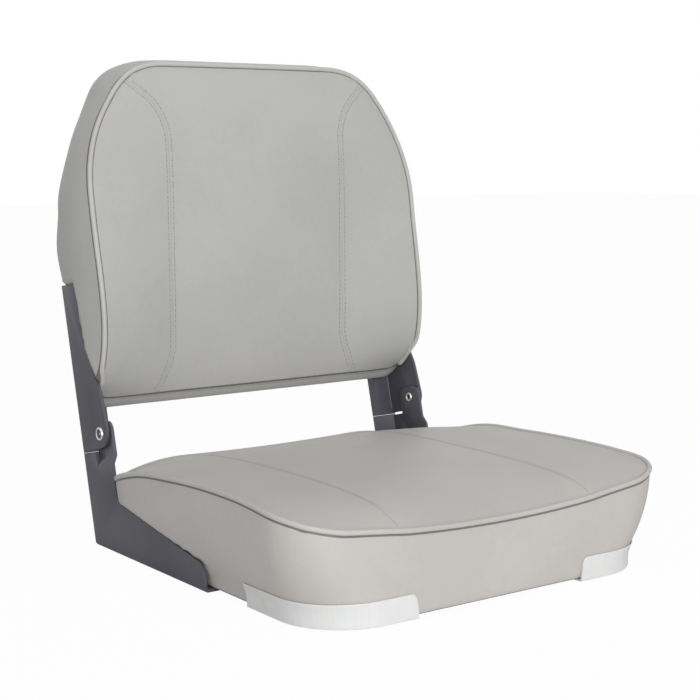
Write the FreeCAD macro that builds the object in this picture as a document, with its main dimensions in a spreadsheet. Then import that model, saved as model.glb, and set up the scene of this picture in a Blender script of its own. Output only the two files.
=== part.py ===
import FreeCAD, Part
import Sketcher
import os
from math import cos, radians, sin, tan
from types import SimpleNamespace

# Folding boat seat, in millimetres and degrees. The sitter faces -Y, +X is to the right in a front view
# and +Z is up. The origin is the centre of the pedestal bolts, on the underside of the seat base.

Vector = FreeCAD.Vector
Rotation = FreeCAD.Rotation
Placement = FreeCAD.Placement

SIZES = {
    # Hinge brackets, pressed from steel sheet. Places on the arm are measured along its rear edge from
    # the heel (along) and square to that edge towards the front (width, setback).
    "bracket_span": 390,
    "gauge": 3,
    "flange_width": 30,
    "bend_radius": 4,
    "recline": 13.8,
    "bracket_rear": 200,
    "arm_width": 60,
    "parting_along": 92.5,
    "parting_gap": 2.5,
    "stop_gap": 0.4,
    "pivot_rise": 15.3,
    "pivot_setback": 42.8,
    "tab_width": 34,
    "tab_rise": 11.5,
    "tab_round": 10,
    "joggle_drop": 23.5,
    "joggle_length": 8,
    "foot_front": 15,
    "foot_front_height": 25,
    "foot_slope": 9.3,
    "foot_front_round": 14,
    "foot_arm_round": 16,
    "upper_along": 263,
    "upper_top_drop": 4.5,
    "upper_top_width": 32,
    "upper_top_round": 6,
    "upper_toe_round": 17,
    "waist_along": 190,
    "waist_width": 38,
    "knee_along": 146,
    "knee_width": 54,
    "edge_round": 60,
    # Hinge rivets and their washers
    "rivet_diameter": 8,
    "rivet_head": 13.5,
    "rivet_head_rise": 2,
    "rivet_rim": 10.5,
    "rivet_rim_rise": 1.6,
    "rivet_bore": 5,
    "rivet_bore_floor": 1.2,
    "hinge_clearance": 0.06,
    "hinge_play": 0.1,
    "washer_diameter": 22,
    "washer_thickness": 0.8,
    # Vinyl cover and its welt cord
    "vinyl": 1.2,
    "cover_gap": 0.3,
    "foam_gap": 2.6,
    "seam_place": 105,
    "wing_crown": 3,
    "piping_diameter": 6.5,
    "piping_rebate": 4,
    "piping_proud": 0.1,
    "piping_step": 12,
    "piping_join": 0.5,
    "piping_end_rise": 5,
    "piping_tuck_rise": 33,
    # Seat cushion
    "seat_front": 190,
    "seat_rear": 182,
    "seat_overhang": 14,
    "seat_height": 92,
    "board_gap": 4,
    "board_zone": 22,
    "front_corner": 55,
    "rear_corner": 92,
    "board_rear_corner": 60,
    "cover_margin": 34,
    # Seat base pan and its pedestal inserts
    "pan_thickness": 14,
    "pocket_depth": 9.5,
    "pocket_width": 38,
    "pocket_length": 44,
    "pocket_pitch": 52,
    "pocket_place": 100,
    "vent_diameter": 10,
    "vent_spacing": 60,
    "bolt_spacing": 127,
    "bolt_hole": 6.6,
    "insert_barrel": 9,
    "insert_flange": 19,
    "insert_flange_thickness": 1.5,
    # Corner guards and their tacks
    "guard_wall": 1.4,
    "guard_top": 17,
    "guard_lip": 18,
    "guard_front_end": 93,
    "guard_side_end": 77,
    "guard_end_round": 5,
    "tack_head": 8,
    "tack_head_thickness": 0.7,
    "tack_shank": 2.4,
    "tack_length": 11,
    "tack_inset": 12,
    # Screws and staples
    "screw_diameter": 5,
    "screw_head": 9.6,
    "screw_head_rise": 2.4,
    "screw_clearance": 0.15,
    "seat_screw_tip_clear": 3.2,
    "seat_screw_inset": 13,
    "seat_screw_pitch": 52,
    "seat_screw_end": 82,
    "back_screw_tip_clear": 1.8,
    "back_screw_inset": 17,
    "back_screw_pitch": 36,
    "back_screw_end": 21,
    "staple_crown": 10,
    "staple_leg": 8,
    "staple_wire": 0.8,
    "staple_inset": 16,
    "staple_clear": 15,
    "staple_side_pitch": 24,
    # Backrest cushion
    "back_bottom": 131,
    "back_top": 473.5,
    "back_inset": 2.5,
    "back_face": 197,
    "shoulder_drop": 84,
    "shoulder_run": 54,
    "side_round": 170,
    "top_round": 70,
    "bottom_round": 35,
    "rear_bend_height": 326,
    "rear_bend_round": 130,
    "rear_top_setback": 270,
    "flare_drop": 49,
    "flare_angle": 39,
    "flare_round": 60,
    # Backrest frame
    "frame_thickness": 9,
    "frame_gap": 8,
    "frame_bottom_clear": 18,
    "frame_top_clear": 46,
    "frame_top_corner": 100,
    "frame_bottom_corner": 30,
    "frame_window": 70,
    "frame_window_pitch": 100,
}

# Seat side: share of the height from board to welt, share of the overhang past the board.
SEAT_SIDE = [(0, 0), (0.37, 0.66), (0.74, 0.94), (1.12, 1), (1.55, 1)]

# Seat top: share of the depth from the front, then rises over the seat height at side, seam and centre.
SEAT_TOP = [
    (-0.05, -17, -37, -41),
    (0, -9, -24, -27),
    (0.08, -4, -9.5, -12.5),
    (0.2, 1, -3.5, -4.5),
    (0.36, 2.3, -1.5, -0.5),
    (0.56, 0.3, -2, 0),
    (0.74, -4, -4, -2),
    (0.84, -11.5, -7, -5),
    (0.92, -26, -12.5, -10.5),
    (1, -40, -20, -18),
    (1.06, -50, -28, -26),
]

# Backrest boxing: place behind the face plane, then growth of half-width, drop of top, rise of bottom.
BACK_SIDE = [(-75, -1, -1, 3), (0, 0.5, 0, 2), (35, 0.5, 0.5, 0), (63, 0, 3, 0), (95, -2, 8, 2)]

# Backrest face: share of the height, then how far side, seam and centre stand ahead of the face plane.
BACK_FACE = [
    (-0.055, -38, -21, -19.5),
    (0.023, -16, -9.5, -8),
    (0.07, 2, -7, -4),
    (0.116, 13.5, -6, -2),
    (0.186, 21, -5, 0),
    (0.264, 23, -3, 2),
    (0.386, 18, -0.5, 5),
    (0.51, 9.5, 0.5, 6),
    (0.626, 3, 1, 6.5),
    (0.725, -4.5, 0.5, 6),
    (0.81, -12, -2, 3.5),
    (0.884, -18.5, -5, 0),
    (0.95, -24.5, -11.5, -8),
    (1, -27.5, -20, -18.5),
    (1.05, -31, -32, -30.5),
]

doc = FreeCAD.newDocument("folding_boat_seat")
sheet = doc.addObject("Spreadsheet::Sheet", "sizes")
for row, (name, value) in enumerate(SIZES.items(), start=1):
    sheet.set(f"A{row}", name)
    sheet.set(f"B{row}", str(value))
    sheet.setAlias(f"B{row}", name)
doc.recompute()


class Size:
    """A length, an angle or a share: its number, and the sheet formula that gives it."""

    def __init__(self, value, formula):
        self.value = value
        self.formula = formula

    def __add__(self, other):
        return Size(self.value + number(other), f"({self.formula} + {formula(other)})")

    def __radd__(self, other):
        return Size(number(other) + self.value, f"({formula(other)} + {self.formula})")

    def __sub__(self, other):
        return Size(self.value - number(other), f"({self.formula} - {formula(other)})")

    def __rsub__(self, other):
        return Size(number(other) - self.value, f"({formula(other)} - {self.formula})")

    def __mul__(self, other):
        return Size(self.value * number(other), f"({self.formula} * {formula(other)})")

    __rmul__ = __mul__

    def __truediv__(self, other):
        return Size(self.value / number(other), f"({self.formula} / {formula(other)})")

    def __neg__(self):
        return Size(-self.value, f"(0 - {self.formula})")


def number(size):
    """The plain number of a size or of a number."""
    return size.value if isinstance(size, Size) else float(size)


def formula(size):
    """The sheet formula of a size or of a number."""
    return size.formula if isinstance(size, Size) else str(float(size))


size = SimpleNamespace(**{name: Size(float(sheet.get(name)), f"sizes.{name}") for name in SIZES})
mm = SimpleNamespace(**{name: float(sheet.get(name)) for name in SIZES})

sine = Size(sin(radians(mm.recline)), "sin(sizes.recline)")
cosine = Size(cos(radians(mm.recline)), "cos(sizes.recline)")
foot_tangent = Size(tan(radians(mm.foot_slope)), "tan(sizes.foot_slope)")

# The brackets' feet lie under the turned-in cover, so the seat stands on this level.
floor_level = -(size.vinyl + size.gauge)
sides = {"left": -1, "right": 1}


def arm_point(along, width):
    """Place (y, z) on the reclined arm: along its rear edge from the heel, and forward of that edge."""
    return (
        size.bracket_rear + along * sine - width * cosine,
        floor_level + along * cosine + width * sine,
    )


pivot_along = size.parting_along + size.pivot_rise
pivot_y, pivot_z = arm_point(pivot_along, size.pivot_setback)

# Widths inside and outside the pair of bracket plates
board_half = size.bracket_span / 2 - size.gauge - size.board_gap
seat_half = size.bracket_span / 2 + size.seat_overhang
back_half = size.bracket_span / 2 - size.back_inset
frame_half = size.bracket_span / 2 - size.gauge - size.frame_gap


# Sketches and features

def origin_plane(body, role):
    return next(plane for plane in body.Origin.OriginFeatures if plane.Role == role)


def new_sketch(body, name, role, offset=0):
    """An empty sketch on one of the body's origin planes, moved along the plane's normal."""
    sketch = body.newObject("Sketcher::SketchObject", name)
    sketch.AttachmentSupport = [(origin_plane(body, role), "")]
    sketch.MapMode = "FlatFace"
    sketch.setExpression("AttachmentOffset.Base.z", formula(offset))
    return sketch


def lean_on_arm(sketch, centre_y, centre_z):
    """Turn an XZ sketch so that its upright axis follows the arm, with its origin at the given place."""
    sketch.AttachmentOffset = Placement(Vector(), Rotation(Vector(1, 0, 0), -mm.recline))
    sketch.setExpression("AttachmentOffset.Rotation.Angle", "sizes.recline")
    sketch.setExpression("AttachmentOffset.Rotation.Axis.x", "-1")
    sketch.setExpression("AttachmentOffset.Base.y", formula(centre_z))
    sketch.setExpression("AttachmentOffset.Base.z", formula(-centre_y))


def pin_point(sketch, element, position, place):
    """Bind both coordinates of a sketch point to their formulas."""
    for kind, coordinate in zip(("DistanceX", "DistanceY"), place):
        constraint = Sketcher.Constraint(kind, -1, 1, element, position, number(coordinate))
        index = sketch.addConstraint(constraint)
        sketch.setExpression(f"Constraints[{index}]", formula(coordinate))


def add_polygon(sketch, points):
    """A closed outline of straight lines whose corners are bound to their formulas."""
    first = sketch.GeometryCount
    count = len(points)
    corners = [Vector(number(u), number(v), 0) for u, v in points]
    for index, corner in enumerate(corners):
        sketch.addGeometry(Part.LineSegment(corner, corners[(index + 1) % count]))
    for index in range(count):
        following = first + (index + 1) % count
        sketch.addConstraint(Sketcher.Constraint("Coincident", first + index, 2, following, 1))
    for index, point in enumerate(points):
        pin_point(sketch, first + index, 1, point)


def add_rectangle(sketch, left, bottom, right, top):
    add_polygon(sketch, [(left, bottom), (right, bottom), (right, top), (left, top)])


def add_circle(sketch, centre, diameter):
    place = Vector(number(centre[0]), number(centre[1]), 0)
    index = sketch.addGeometry(Part.Circle(place, Vector(0, 0, 1), number(diameter) / 2))
    radius = sketch.addConstraint(Sketcher.Constraint("Radius", index, number(diameter) / 2))
    sketch.setExpression(f"Constraints[{radius}]", formula(diameter / 2))
    pin_point(sketch, index, 3, centre)


def add_pad(body, name, sketch, length, reverse=False, symmetric=False):
    pad = body.newObject("PartDesign::Pad", name)
    pad.Profile = sketch
    pad.setExpression("Length", formula(length))
    pad.Reversed = reverse
    pad.SideType = "Symmetric" if symmetric else "One side"
    doc.recompute()
    return pad


def add_pocket(body, name, sketch, depth=None, reverse=False):
    """A cut to a depth, or through everything on both sides; it has to take material away."""
    before = body.Shape.Volume
    pocket = body.newObject("PartDesign::Pocket", name)
    pocket.Profile = sketch
    if depth is None:
        pocket.Type = "ThroughAll"
        pocket.SideType = "Symmetric"
    else:
        pocket.Type = "Length"
        pocket.setExpression("Length", formula(depth))
        pocket.Reversed = reverse
    doc.recompute()
    if not body.Shape.Volume < before:
        raise ValueError(f"{name} in {body.Label} cuts nothing")
    return pocket


def edges_where(shape, test):
    """Names of the edges whose middle point and direction pass the test."""
    names = []
    for index, edge in enumerate(shape.Edges, start=1):
        middle = edge.valueAt((edge.FirstParameter + edge.LastParameter) / 2)
        if test(edge, middle):
            names.append(f"Edge{index}")
    return names


def add_edge_feature(body, kind, name, measure, amount, test):
    """A Fillet or Chamfer on every edge that passes the test."""
    base = body.Tip
    names = edges_where(base.Shape, test)
    if not names:
        raise ValueError(f"{name} in {body.Label} finds no edge")
    feature = body.newObject(f"PartDesign::{kind}", name)
    feature.Base = (base, names)
    feature.setExpression(measure, formula(amount))
    doc.recompute()
    return feature


def add_round(body, name, radius, test):
    return add_edge_feature(body, "Fillet", name, "Radius", radius, test)


def near(first, second):
    """Equal within a hundredth of a millimetre."""
    return abs(first - number(second)) < 0.01


def runs_along_x(edge):
    """True for a straight edge parallel to X."""
    if edge.Curve.TypeId != "Part::GeomLine":
        return False
    return abs(edge.Curve.Direction.x) > 0.999


def corner_at(place):
    """A test for the straight edges along X that pass through a place (y, z)."""
    return lambda edge, middle: (
        runs_along_x(edge) and near(middle.y, place[0]) and near(middle.z, place[1])
    )


def new_body(label):
    body = doc.addObject("PartDesign::Body", label)
    body.Label = label
    return body


def new_feature(label, shape, placement=None):
    """A sub-part whose shape is worked out here, placed after its shape is set."""
    feature = doc.addObject("Part::Feature", label)
    feature.Label = label
    feature.Shape = shape
    if placement:
        feature.Placement = placement
    return feature


def turned(label, profile):
    """A body turned about X from a half profile of (x, radius) points."""
    body = new_body(label)
    sketch = new_sketch(body, f"{label}_profile", "XY_Plane")
    add_polygon(sketch, profile)
    spin = body.newObject("PartDesign::Revolution", f"{label}_spin")
    spin.Profile = sketch
    spin.ReferenceAxis = (sketch, ["H_Axis"])
    spin.Angle = 360
    doc.recompute()
    return body


def copies(label, pattern, placements):
    """One node that holds the pattern's shape at each placement, as separate solids."""
    shapes = [pattern.Shape.transformed(place.toMatrix(), True) for place in placements]
    return new_feature(label, Part.makeCompound(shapes))


# Fastener places, shared by the screws and by every hole that they pass

steps = (0, 1, 2)
seat_screw_rows = [size.bracket_rear - size.seat_screw_end - size.seat_screw_pitch * step for step in steps]
back_screw_rows = [size.upper_along - size.back_screw_end - size.back_screw_pitch * step for step in steps]
seat_screw_x = size.bracket_span / 2 - size.seat_screw_inset
back_screw_x = size.bracket_span / 2 - size.back_screw_inset
screw_hole = size.screw_diameter + 2 * size.screw_clearance
seat_screw_places = [
    Vector(side * number(seat_screw_x), number(row), number(floor_level))
    for side in sides.values() for row in seat_screw_rows
]
back_screw_places = [
    Vector(side * number(back_screw_x), *(number(value) for value in arm_point(row, 0)))
    for side in sides.values() for row in back_screw_rows
]
upwards = Vector(0, 0, 1)
forwards = Vector(0, -1, 0)
into_back = Vector(0, -number(cosine), number(sine))
bolt_places = [(x * size.bolt_spacing / 2, y * size.bolt_spacing / 2) for x in (-1, 1) for y in (-1, 1)]


# Hinge brackets

plate_top = size.parting_along - size.parting_gap / 2
plate_bottom = size.parting_along + size.parting_gap / 2
tab_rear = size.pivot_setback - size.tab_width / 2
joggle_end = pivot_along - size.joggle_drop
joggle_start = joggle_end - size.joggle_length
foot_front = -size.foot_front
foot_front_top = floor_level + size.foot_front_height


def foot_corner():
    """Where the foot's sloping top edge meets the front edge of the arm."""
    front_y, front_z = arm_point(0, size.arm_width)
    rise = foot_front_top + (front_y - foot_front) * foot_tangent - front_z
    return arm_point(rise / (cosine - sine * foot_tangent), size.arm_width)


lower_outline = [
    (foot_front, floor_level),
    arm_point(0, 0),
    arm_point(plate_top, 0),
    arm_point(plate_top, tab_rear),
    arm_point(joggle_start, tab_rear),
    arm_point(joggle_start, size.arm_width),
    foot_corner(),
    (foot_front, foot_front_top),
]

upper_outline = [
    arm_point(plate_bottom, 0),
    arm_point(plate_bottom, size.arm_width),
    arm_point(size.knee_along, size.knee_width),
    arm_point(size.waist_along, size.waist_width),
    arm_point(size.upper_along - size.upper_top_drop, size.upper_top_width),
    arm_point(size.upper_along, 0),
]


def arm_strip(start, end):
    """Section of the rear flange between two places along the arm."""
    return [arm_point(start, 0), arm_point(start, size.gauge), arm_point(end, size.gauge), arm_point(end, 0)]


def plate_pad(body, name, side, points, depth):
    """A pad from the outer face of one bracket towards the middle of the seat."""
    sketch = new_sketch(body, f"{name}_outline", "YZ_Plane", side * size.bracket_span / 2)
    add_polygon(sketch, points)
    return add_pad(body, name, sketch, depth, reverse=side > 0)


def pivot_hole(body):
    sketch = new_sketch(body, "pivot_circle", "YZ_Plane")
    add_circle(sketch, (pivot_y, pivot_z), size.rivet_diameter + 2 * size.hinge_clearance)
    add_pocket(body, "pivot_hole", sketch)


def seat_bracket(name, side):
    """Lower bracket: plate with foot and arm, two flanges, and a tab joggled in beside the upper plate."""
    body = new_body(f"{name}_seat_bracket")
    plate_pad(body, "side_plate", side, lower_outline, size.gauge)
    add_round(body, "foot_arm_round", size.foot_arm_round, corner_at(foot_corner()))
    add_round(body, "foot_front_round", size.foot_front_round, corner_at((foot_front, foot_front_top)))
    flange_end = size.parting_along - size.stop_gap / 2
    plate_pad(body, "rear_flange", side, arm_strip(0, flange_end), size.flange_width)
    foot_strip = [
        (foot_front, floor_level),
        (size.bracket_rear, floor_level),
        (size.bracket_rear, floor_level + size.gauge),
        (foot_front, floor_level + size.gauge),
    ]
    plate_pad(body, "foot_flange", side, foot_strip, size.flange_width)

    tab = new_sketch(body, "tab_outline", "XZ_Plane")
    lean_on_arm(tab, pivot_y, pivot_z)
    outer = size.bracket_span / 2
    shift = size.gauge + size.washer_thickness + 2 * size.hinge_play
    low = -size.joggle_drop - size.joggle_length
    steps = [
        (outer, low - size.gauge),
        (outer, low),
        (outer - shift, -size.joggle_drop),
        (outer - shift, size.tab_rise),
        (outer - shift - size.gauge, size.tab_rise),
        (outer - shift - size.gauge, -size.joggle_drop),
        (outer - size.gauge, low),
        (outer - size.gauge, low - size.gauge),
    ]
    add_polygon(tab, [(side * x, y) for x, y in steps])
    add_pad(body, "tab", tab, size.tab_width, symmetric=True)
    for width in (-1, 1):
        edge_place = arm_point(
            pivot_along + size.tab_rise, size.pivot_setback + width * size.tab_width / 2
        )
        add_round(body, "tab_round", size.tab_round, corner_at(edge_place))
    pivot_hole(body)

    holes = new_sketch(body, "screw_circles", "XY_Plane")
    for row in seat_screw_rows:
        add_circle(holes, (side * seat_screw_x, row), screw_hole)
    add_pocket(body, "screw_holes", holes)
    sink = (size.screw_head - screw_hole) / 2
    add_edge_feature(
        body, "Chamfer", "countersinks", "Size", sink,
        lambda edge, middle: edge.Curve.TypeId == "Part::GeomCircle"
        and near(edge.Curve.Radius, screw_hole / 2) and near(middle.z, floor_level),
    )
    add_round(
        body, "foot_bend", size.bend_radius,
        lambda edge, middle: edge.Curve.TypeId == "Part::GeomLine" and near(middle.z, floor_level)
        and near(middle.x, side * size.bracket_span / 2),
    )
    return body


def back_bracket(name, side):
    """Upper bracket: tapered side plate outside the tab, and a rear flange screwed to the back frame."""
    body = new_body(f"{name}_back_bracket")
    plate_pad(body, "side_plate", side, upper_outline, size.gauge)
    rounds = ("upper_toe_round", "edge_round", "edge_round", "upper_top_round")
    for place, radius in zip(upper_outline[1:5], rounds):
        add_round(body, radius, getattr(size, radius), corner_at(place))
    flange_start = size.parting_along + size.stop_gap / 2
    plate_pad(body, "rear_flange", side, arm_strip(flange_start, size.upper_along), size.flange_width)
    pivot_hole(body)

    holes = new_sketch(body, "screw_circles", "XZ_Plane")
    lean_on_arm(holes, *arm_point(0, 0))
    for row in back_screw_rows:
        add_circle(holes, (side * back_screw_x, row), screw_hole)
    add_pocket(body, "screw_holes", holes)
    return body


# Hinge rivets, washers and screws

def hinge_rivet(name, side):
    """Tubular rivet: domed head outside, shank through both plates, rolled rim inside, hollow end."""
    outer = size.bracket_span / 2 + size.hinge_play
    inner = outer - 2 * size.gauge - size.washer_thickness - 4 * size.hinge_play
    body = turned(f"{name}_hinge_rivet", [
        (outer + size.rivet_head_rise, 0),
        (outer + size.rivet_head_rise, size.rivet_head / 4),
        (outer + size.rivet_head_rise / 2, size.rivet_head / 2),
        (outer, size.rivet_head / 2),
        (outer, size.rivet_diameter / 2),
        (inner, size.rivet_diameter / 2),
        (inner, size.rivet_rim / 2),
        (inner - size.rivet_rim_rise, size.rivet_rim / 2 - size.rivet_rim_rise / 2),
        (inner - size.rivet_rim_rise, size.rivet_bore / 2),
        (outer + size.rivet_bore_floor - size.gauge, size.rivet_bore / 2),
        (outer + size.rivet_bore_floor - size.gauge, 0),
    ])
    body.Placement = Placement(Vector(), Rotation(Vector(0, 0, 1), 0 if side > 0 else 180))
    body.setExpression("Placement.Base.y", formula(pivot_y))
    body.setExpression("Placement.Base.z", formula(pivot_z))
    return body


def hinge_washer(name, side):
    """Flat plastic washer on the rivet, between the upper plate and the tab."""
    disc = doc.addObject("Part::Cylinder", f"{name}_washer_disc")
    bore = doc.addObject("Part::Cylinder", f"{name}_washer_bore")
    bore_radius = size.rivet_diameter / 2 + size.hinge_clearance
    for cylinder, radius in ((disc, size.washer_diameter / 2), (bore, bore_radius)):
        cylinder.setExpression("Height", "sizes.washer_thickness")
        cylinder.setExpression("Radius", formula(radius))
    washer = doc.addObject("Part::Cut", f"{name}_hinge_washer")
    washer.Label = f"{name}_hinge_washer"
    washer.Base = disc
    washer.Tool = bore
    washer.Placement = Placement(Vector(), Rotation(Vector(0, 1, 0), side * 90))
    inner_face = size.bracket_span / 2 - size.gauge - size.hinge_play - size.washer_thickness
    washer.setExpression("Placement.Base.x", formula(side * inner_face))
    washer.setExpression("Placement.Base.y", formula(pivot_y))
    washer.setExpression("Placement.Base.z", formula(pivot_z))
    return washer


def countersunk_profile(length):
    sink = (size.screw_head - screw_hole) / 2
    play, shank = size.screw_clearance, size.screw_diameter / 2
    return [
        (0, 0), (0, size.screw_head / 2 - play), (sink - play / 2, shank),
        (length - shank, shank), (length, 0),
    ]


def pan_head_profile(length):
    rise, head, shank = size.screw_head_rise, size.screw_head / 2, size.screw_diameter / 2
    return [
        (-rise, 0), (-rise, head / 2), (-rise / 2, head), (0, head),
        (0, shank), (length - shank, shank), (length, 0),
    ]


def tack_profile():
    return [
        (-size.tack_head_thickness, 0), (-size.tack_head_thickness, size.tack_head / 2),
        (0, size.tack_head / 2), (0, size.tack_shank / 2),
        (size.tack_length - size.tack_shank, size.tack_shank / 2), (size.tack_length, 0),
    ]


def insert_profile():
    """Threaded insert: barrel from the underside up, with a wide flange let into the top of the pan."""
    top = size.pan_thickness
    return [
        (0, size.bolt_hole / 2), (0, size.insert_barrel / 2),
        (top - size.insert_flange_thickness, size.insert_barrel / 2),
        (top - size.insert_flange_thickness, size.insert_flange / 2),
        (top, size.insert_flange / 2), (top, size.bolt_hole / 2),
    ]


turned_up = Rotation(Vector(1, 0, 0), upwards)


def seat_screws():
    """Countersunk screws, driven up through the foot flanges and the turned-in cover."""
    length = size.gauge + size.vinyl + size.pan_thickness - size.seat_screw_tip_clear
    pattern = turned("seat_screw_pattern", countersunk_profile(length))
    places = [Placement(place, turned_up) for place in seat_screw_places]
    return copies("seat_bracket_screws", pattern, places)


def back_screws():
    """Pan-head screws, driven forward through the rear flanges, square to the arm."""
    covered = size.gauge + size.vinyl + 2 * size.cover_gap
    pattern = turned(
        "back_screw_pattern", pan_head_profile(covered + size.frame_thickness - size.back_screw_tip_clear)
    )
    forward = Rotation(Vector(1, 0, 0), into_back)
    return copies("back_bracket_screws", pattern, [Placement(place, forward) for place in back_screw_places])


def mounting_inserts():
    pattern = turned("insert_pattern", insert_profile())
    places = [Placement(Vector(number(x), number(y), 0), turned_up) for x, y in bolt_places]
    return copies("mounting_tee_nuts", pattern, places)


# Outlines of straight runs and arcs, for the soft forms

def rounded_wire(corners, place):
    """Closed wire through (u, v, radius) corners: straight runs joined by arcs, held within their runs."""
    count = len(corners)
    points = [Vector(u, v, 0) for u, v, radius in corners]
    runs = [points[(index + 1) % count] - point for index, point in enumerate(points)]
    halves = [(-runs[index - 1]).getAngle(runs[index]) / 2 for index in range(count)]
    reaches = [corner[2] / tan(half) for corner, half in zip(corners, halves)]
    longest = 0.98
    room = [
        min(1, longest * run.Length / (reaches[index] + reaches[(index + 1) % count]))
        for index, run in enumerate(runs)
    ]
    bends = []
    for index, here in enumerate(points):
        back = (-runs[index - 1]).normalize()
        ahead = Vector(runs[index]).normalize()
        reach = reaches[index] * min(room[index - 1], room[index])
        radius = reach * tan(halves[index])
        middle = here + (back + ahead).normalize() * (radius / sin(halves[index]) - radius)
        bends.append((here + back * reach, middle, here + ahead * reach))
    edges = []
    for index, (enter, middle, leave) in enumerate(bends):
        enter, middle, leave = (place(point.x, point.y) for point in (enter, middle, leave))
        following = bends[(index + 1) % count][0]
        edges.append(Part.Arc(enter, middle, leave).toShape())
        edges.append(Part.LineSegment(leave, place(following.x, following.y)).toShape())
    return Part.Wire(edges)


def plate_block(outline, grow, reach):
    """Space of both side plates of a bracket pair, grown all round and carried outwards."""
    start = mm.bracket_span / 2 - mm.gauge - grow
    corners = [Vector(start, number(y), number(z)) for y, z in outline]
    face = Part.Face(Part.makePolygon(corners + corners[:1])).makeOffset2D(grow)
    right = face.extrude(Vector(reach, 0, 0))
    return right.fuse(right.mirror(Vector(), Vector(1, 0, 0)))


def crest(outer, seam_height, side_height, centre_height, seam, crown, place):
    """Three arcs across a cushion: wing, centre and wing, meeting at the two seams."""
    half = outer / 2 + seam / 2
    wing = (seam_height + side_height) / 2 + crown
    arcs = [
        ((outer, side_height), (half, wing), (seam, seam_height)),
        ((seam, seam_height), (0, centre_height), (-seam, seam_height)),
        ((-seam, seam_height), (-half, wing), (-outer, side_height)),
    ]
    return [Part.Arc(*(place(u, v) for u, v in arc)).toShape() for arc in arcs]


def closed_section(arcs, corners):
    """Closes a row of arcs with straight lines through further corners."""
    first = arcs[0].valueAt(arcs[0].FirstParameter)
    last = arcs[-1].valueAt(arcs[-1].LastParameter)
    points = [last] + corners + [first]
    lines = [Part.LineSegment(a, b).toShape() for a, b in zip(points, points[1:])]
    return Part.Wire(arcs + lines)


def carried_out(seam_value, side_value, half_width, outer):
    """The side's value, carried on in a straight line from the seam to a place past the side."""
    share = (outer - mm.seam_place) / (half_width - mm.seam_place)
    return seam_value + (side_value - seam_value) * share


# Working room round the cushions, and the small round at corners that lie out there
past_side = 25
far_away = 300
working_round = 1


def tube_along(points, radius):
    """A round tube whose path is straight runs joined by arcs as large as the runs allow."""
    share = 0.45
    edges = []
    reached = points[0]
    for before, here, after in zip(points, points[1:], points[2:]):
        back = before - here
        ahead = after - here
        reach = share * min(back.Length, ahead.Length)
        back.normalize()
        ahead.normalize()
        half = back.getAngle(ahead) / 2
        bend = reach * tan(half)
        middle = here + (back + ahead).normalize() * (bend / sin(half) - bend)
        leave = here + ahead * reach
        edges.append(Part.LineSegment(reached, here + back * reach).toShape())
        edges.append(Part.Arc(here + back * reach, middle, leave).toShape())
        reached = leave
    edges.append(Part.LineSegment(reached, points[-1]).toShape())
    ring = Part.Circle(points[0], points[1] - points[0], radius)
    tube = Part.BRepOffsetAPI.MakePipeShell(Part.Wire(edges))
    tube.add(Part.Wire([ring.toShape()]))
    tube.build()
    tube.makeSolid()
    return tube.shape()


def welt_points(block, first, second, start):
    """Evenly spaced points round the edge where two forms meet on a block, from the one nearest the start."""
    skins = [Part.makeShell(form.Faces) for form in (first, second)]
    edges = []
    for edge in block.Edges:
        middle = Part.Vertex(edge.valueAt((edge.FirstParameter + edge.LastParameter) / 2))
        if all(middle.distToShape(skin)[0] < 0.01 for skin in skins):
            edges.append(edge)
    wire = Part.Wire(Part.__sortEdges__(edges))
    ring = wire.discretize(int(wire.Length / mm.piping_step) + 1)[:-1]
    nearest = min(range(len(ring)), key=lambda index: ring[index].distanceToPoint(start))
    return ring[nearest:] + ring[:nearest]


def welt_offset(points, index, face_normal):
    """How far the cord's centre stands off the welt edge: out over the side and off the face alike."""
    before = points[max(index - 1, 0)]
    after = points[min(index + 1, len(points) - 1)]
    sideways = (after - before).cross(face_normal).normalize()
    middle = sum(points, Vector()) * (1 / len(points))
    if sideways.dot(points[index] - middle) < 0:
        sideways = -sideways
    return (sideways + face_normal) * mm.piping_proud


def welt_line(points, face_normal):
    """Centre line of a round cord, half sunk in the open edge between a panel and a band."""
    return [point + welt_offset(points, index, face_normal) for index, point in enumerate(points)]


def welt_cord(label, line):
    return new_feature(label, tube_along(line, mm.piping_diameter / 2))


def cord_room(line):
    """Space that a welt cord needs in the cover and the foam, with its clearance."""
    return tube_along(line, mm.piping_diameter / 2 + mm.cover_gap)


def split_panels(cushion, panel, wing):
    """Cuts a sewn panel at its two seams: the right wing's room, the same mirrored, and the rest."""
    rooms = {"left": wing.mirror(Vector(), Vector(1, 0, 0)), "right": wing}
    nodes = [new_feature(f"{name}_{cushion}_wing_panel", panel.common(room)) for name, room in rooms.items()]
    nodes.append(new_feature(f"{cushion}_centre_panel", panel.cut(list(rooms.values()))))
    return nodes


def screw_bores(places, direction, length):
    """Cylinders that clear the screws where they pass the cover."""
    return [Part.makeCylinder(number(screw_hole) / 2, length, place, direction) for place in places]


# Seat cushion

seat_depth = mm.seat_front + mm.seat_rear


def seat_outline(level, half_width, rear_corner, inset):
    """Plan of the seat at one level, drawn in by the inset."""
    side, front, rear = half_width - inset, inset - mm.seat_front, mm.seat_rear - inset
    front_round, rear_round = mm.front_corner - inset, rear_corner - inset
    corners = [
        (-side, front, front_round), (side, front, front_round),
        (side, rear, rear_round), (-side, rear, rear_round),
    ]
    return rounded_wire(corners, lambda u, v: Vector(u, v, level))


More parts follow.
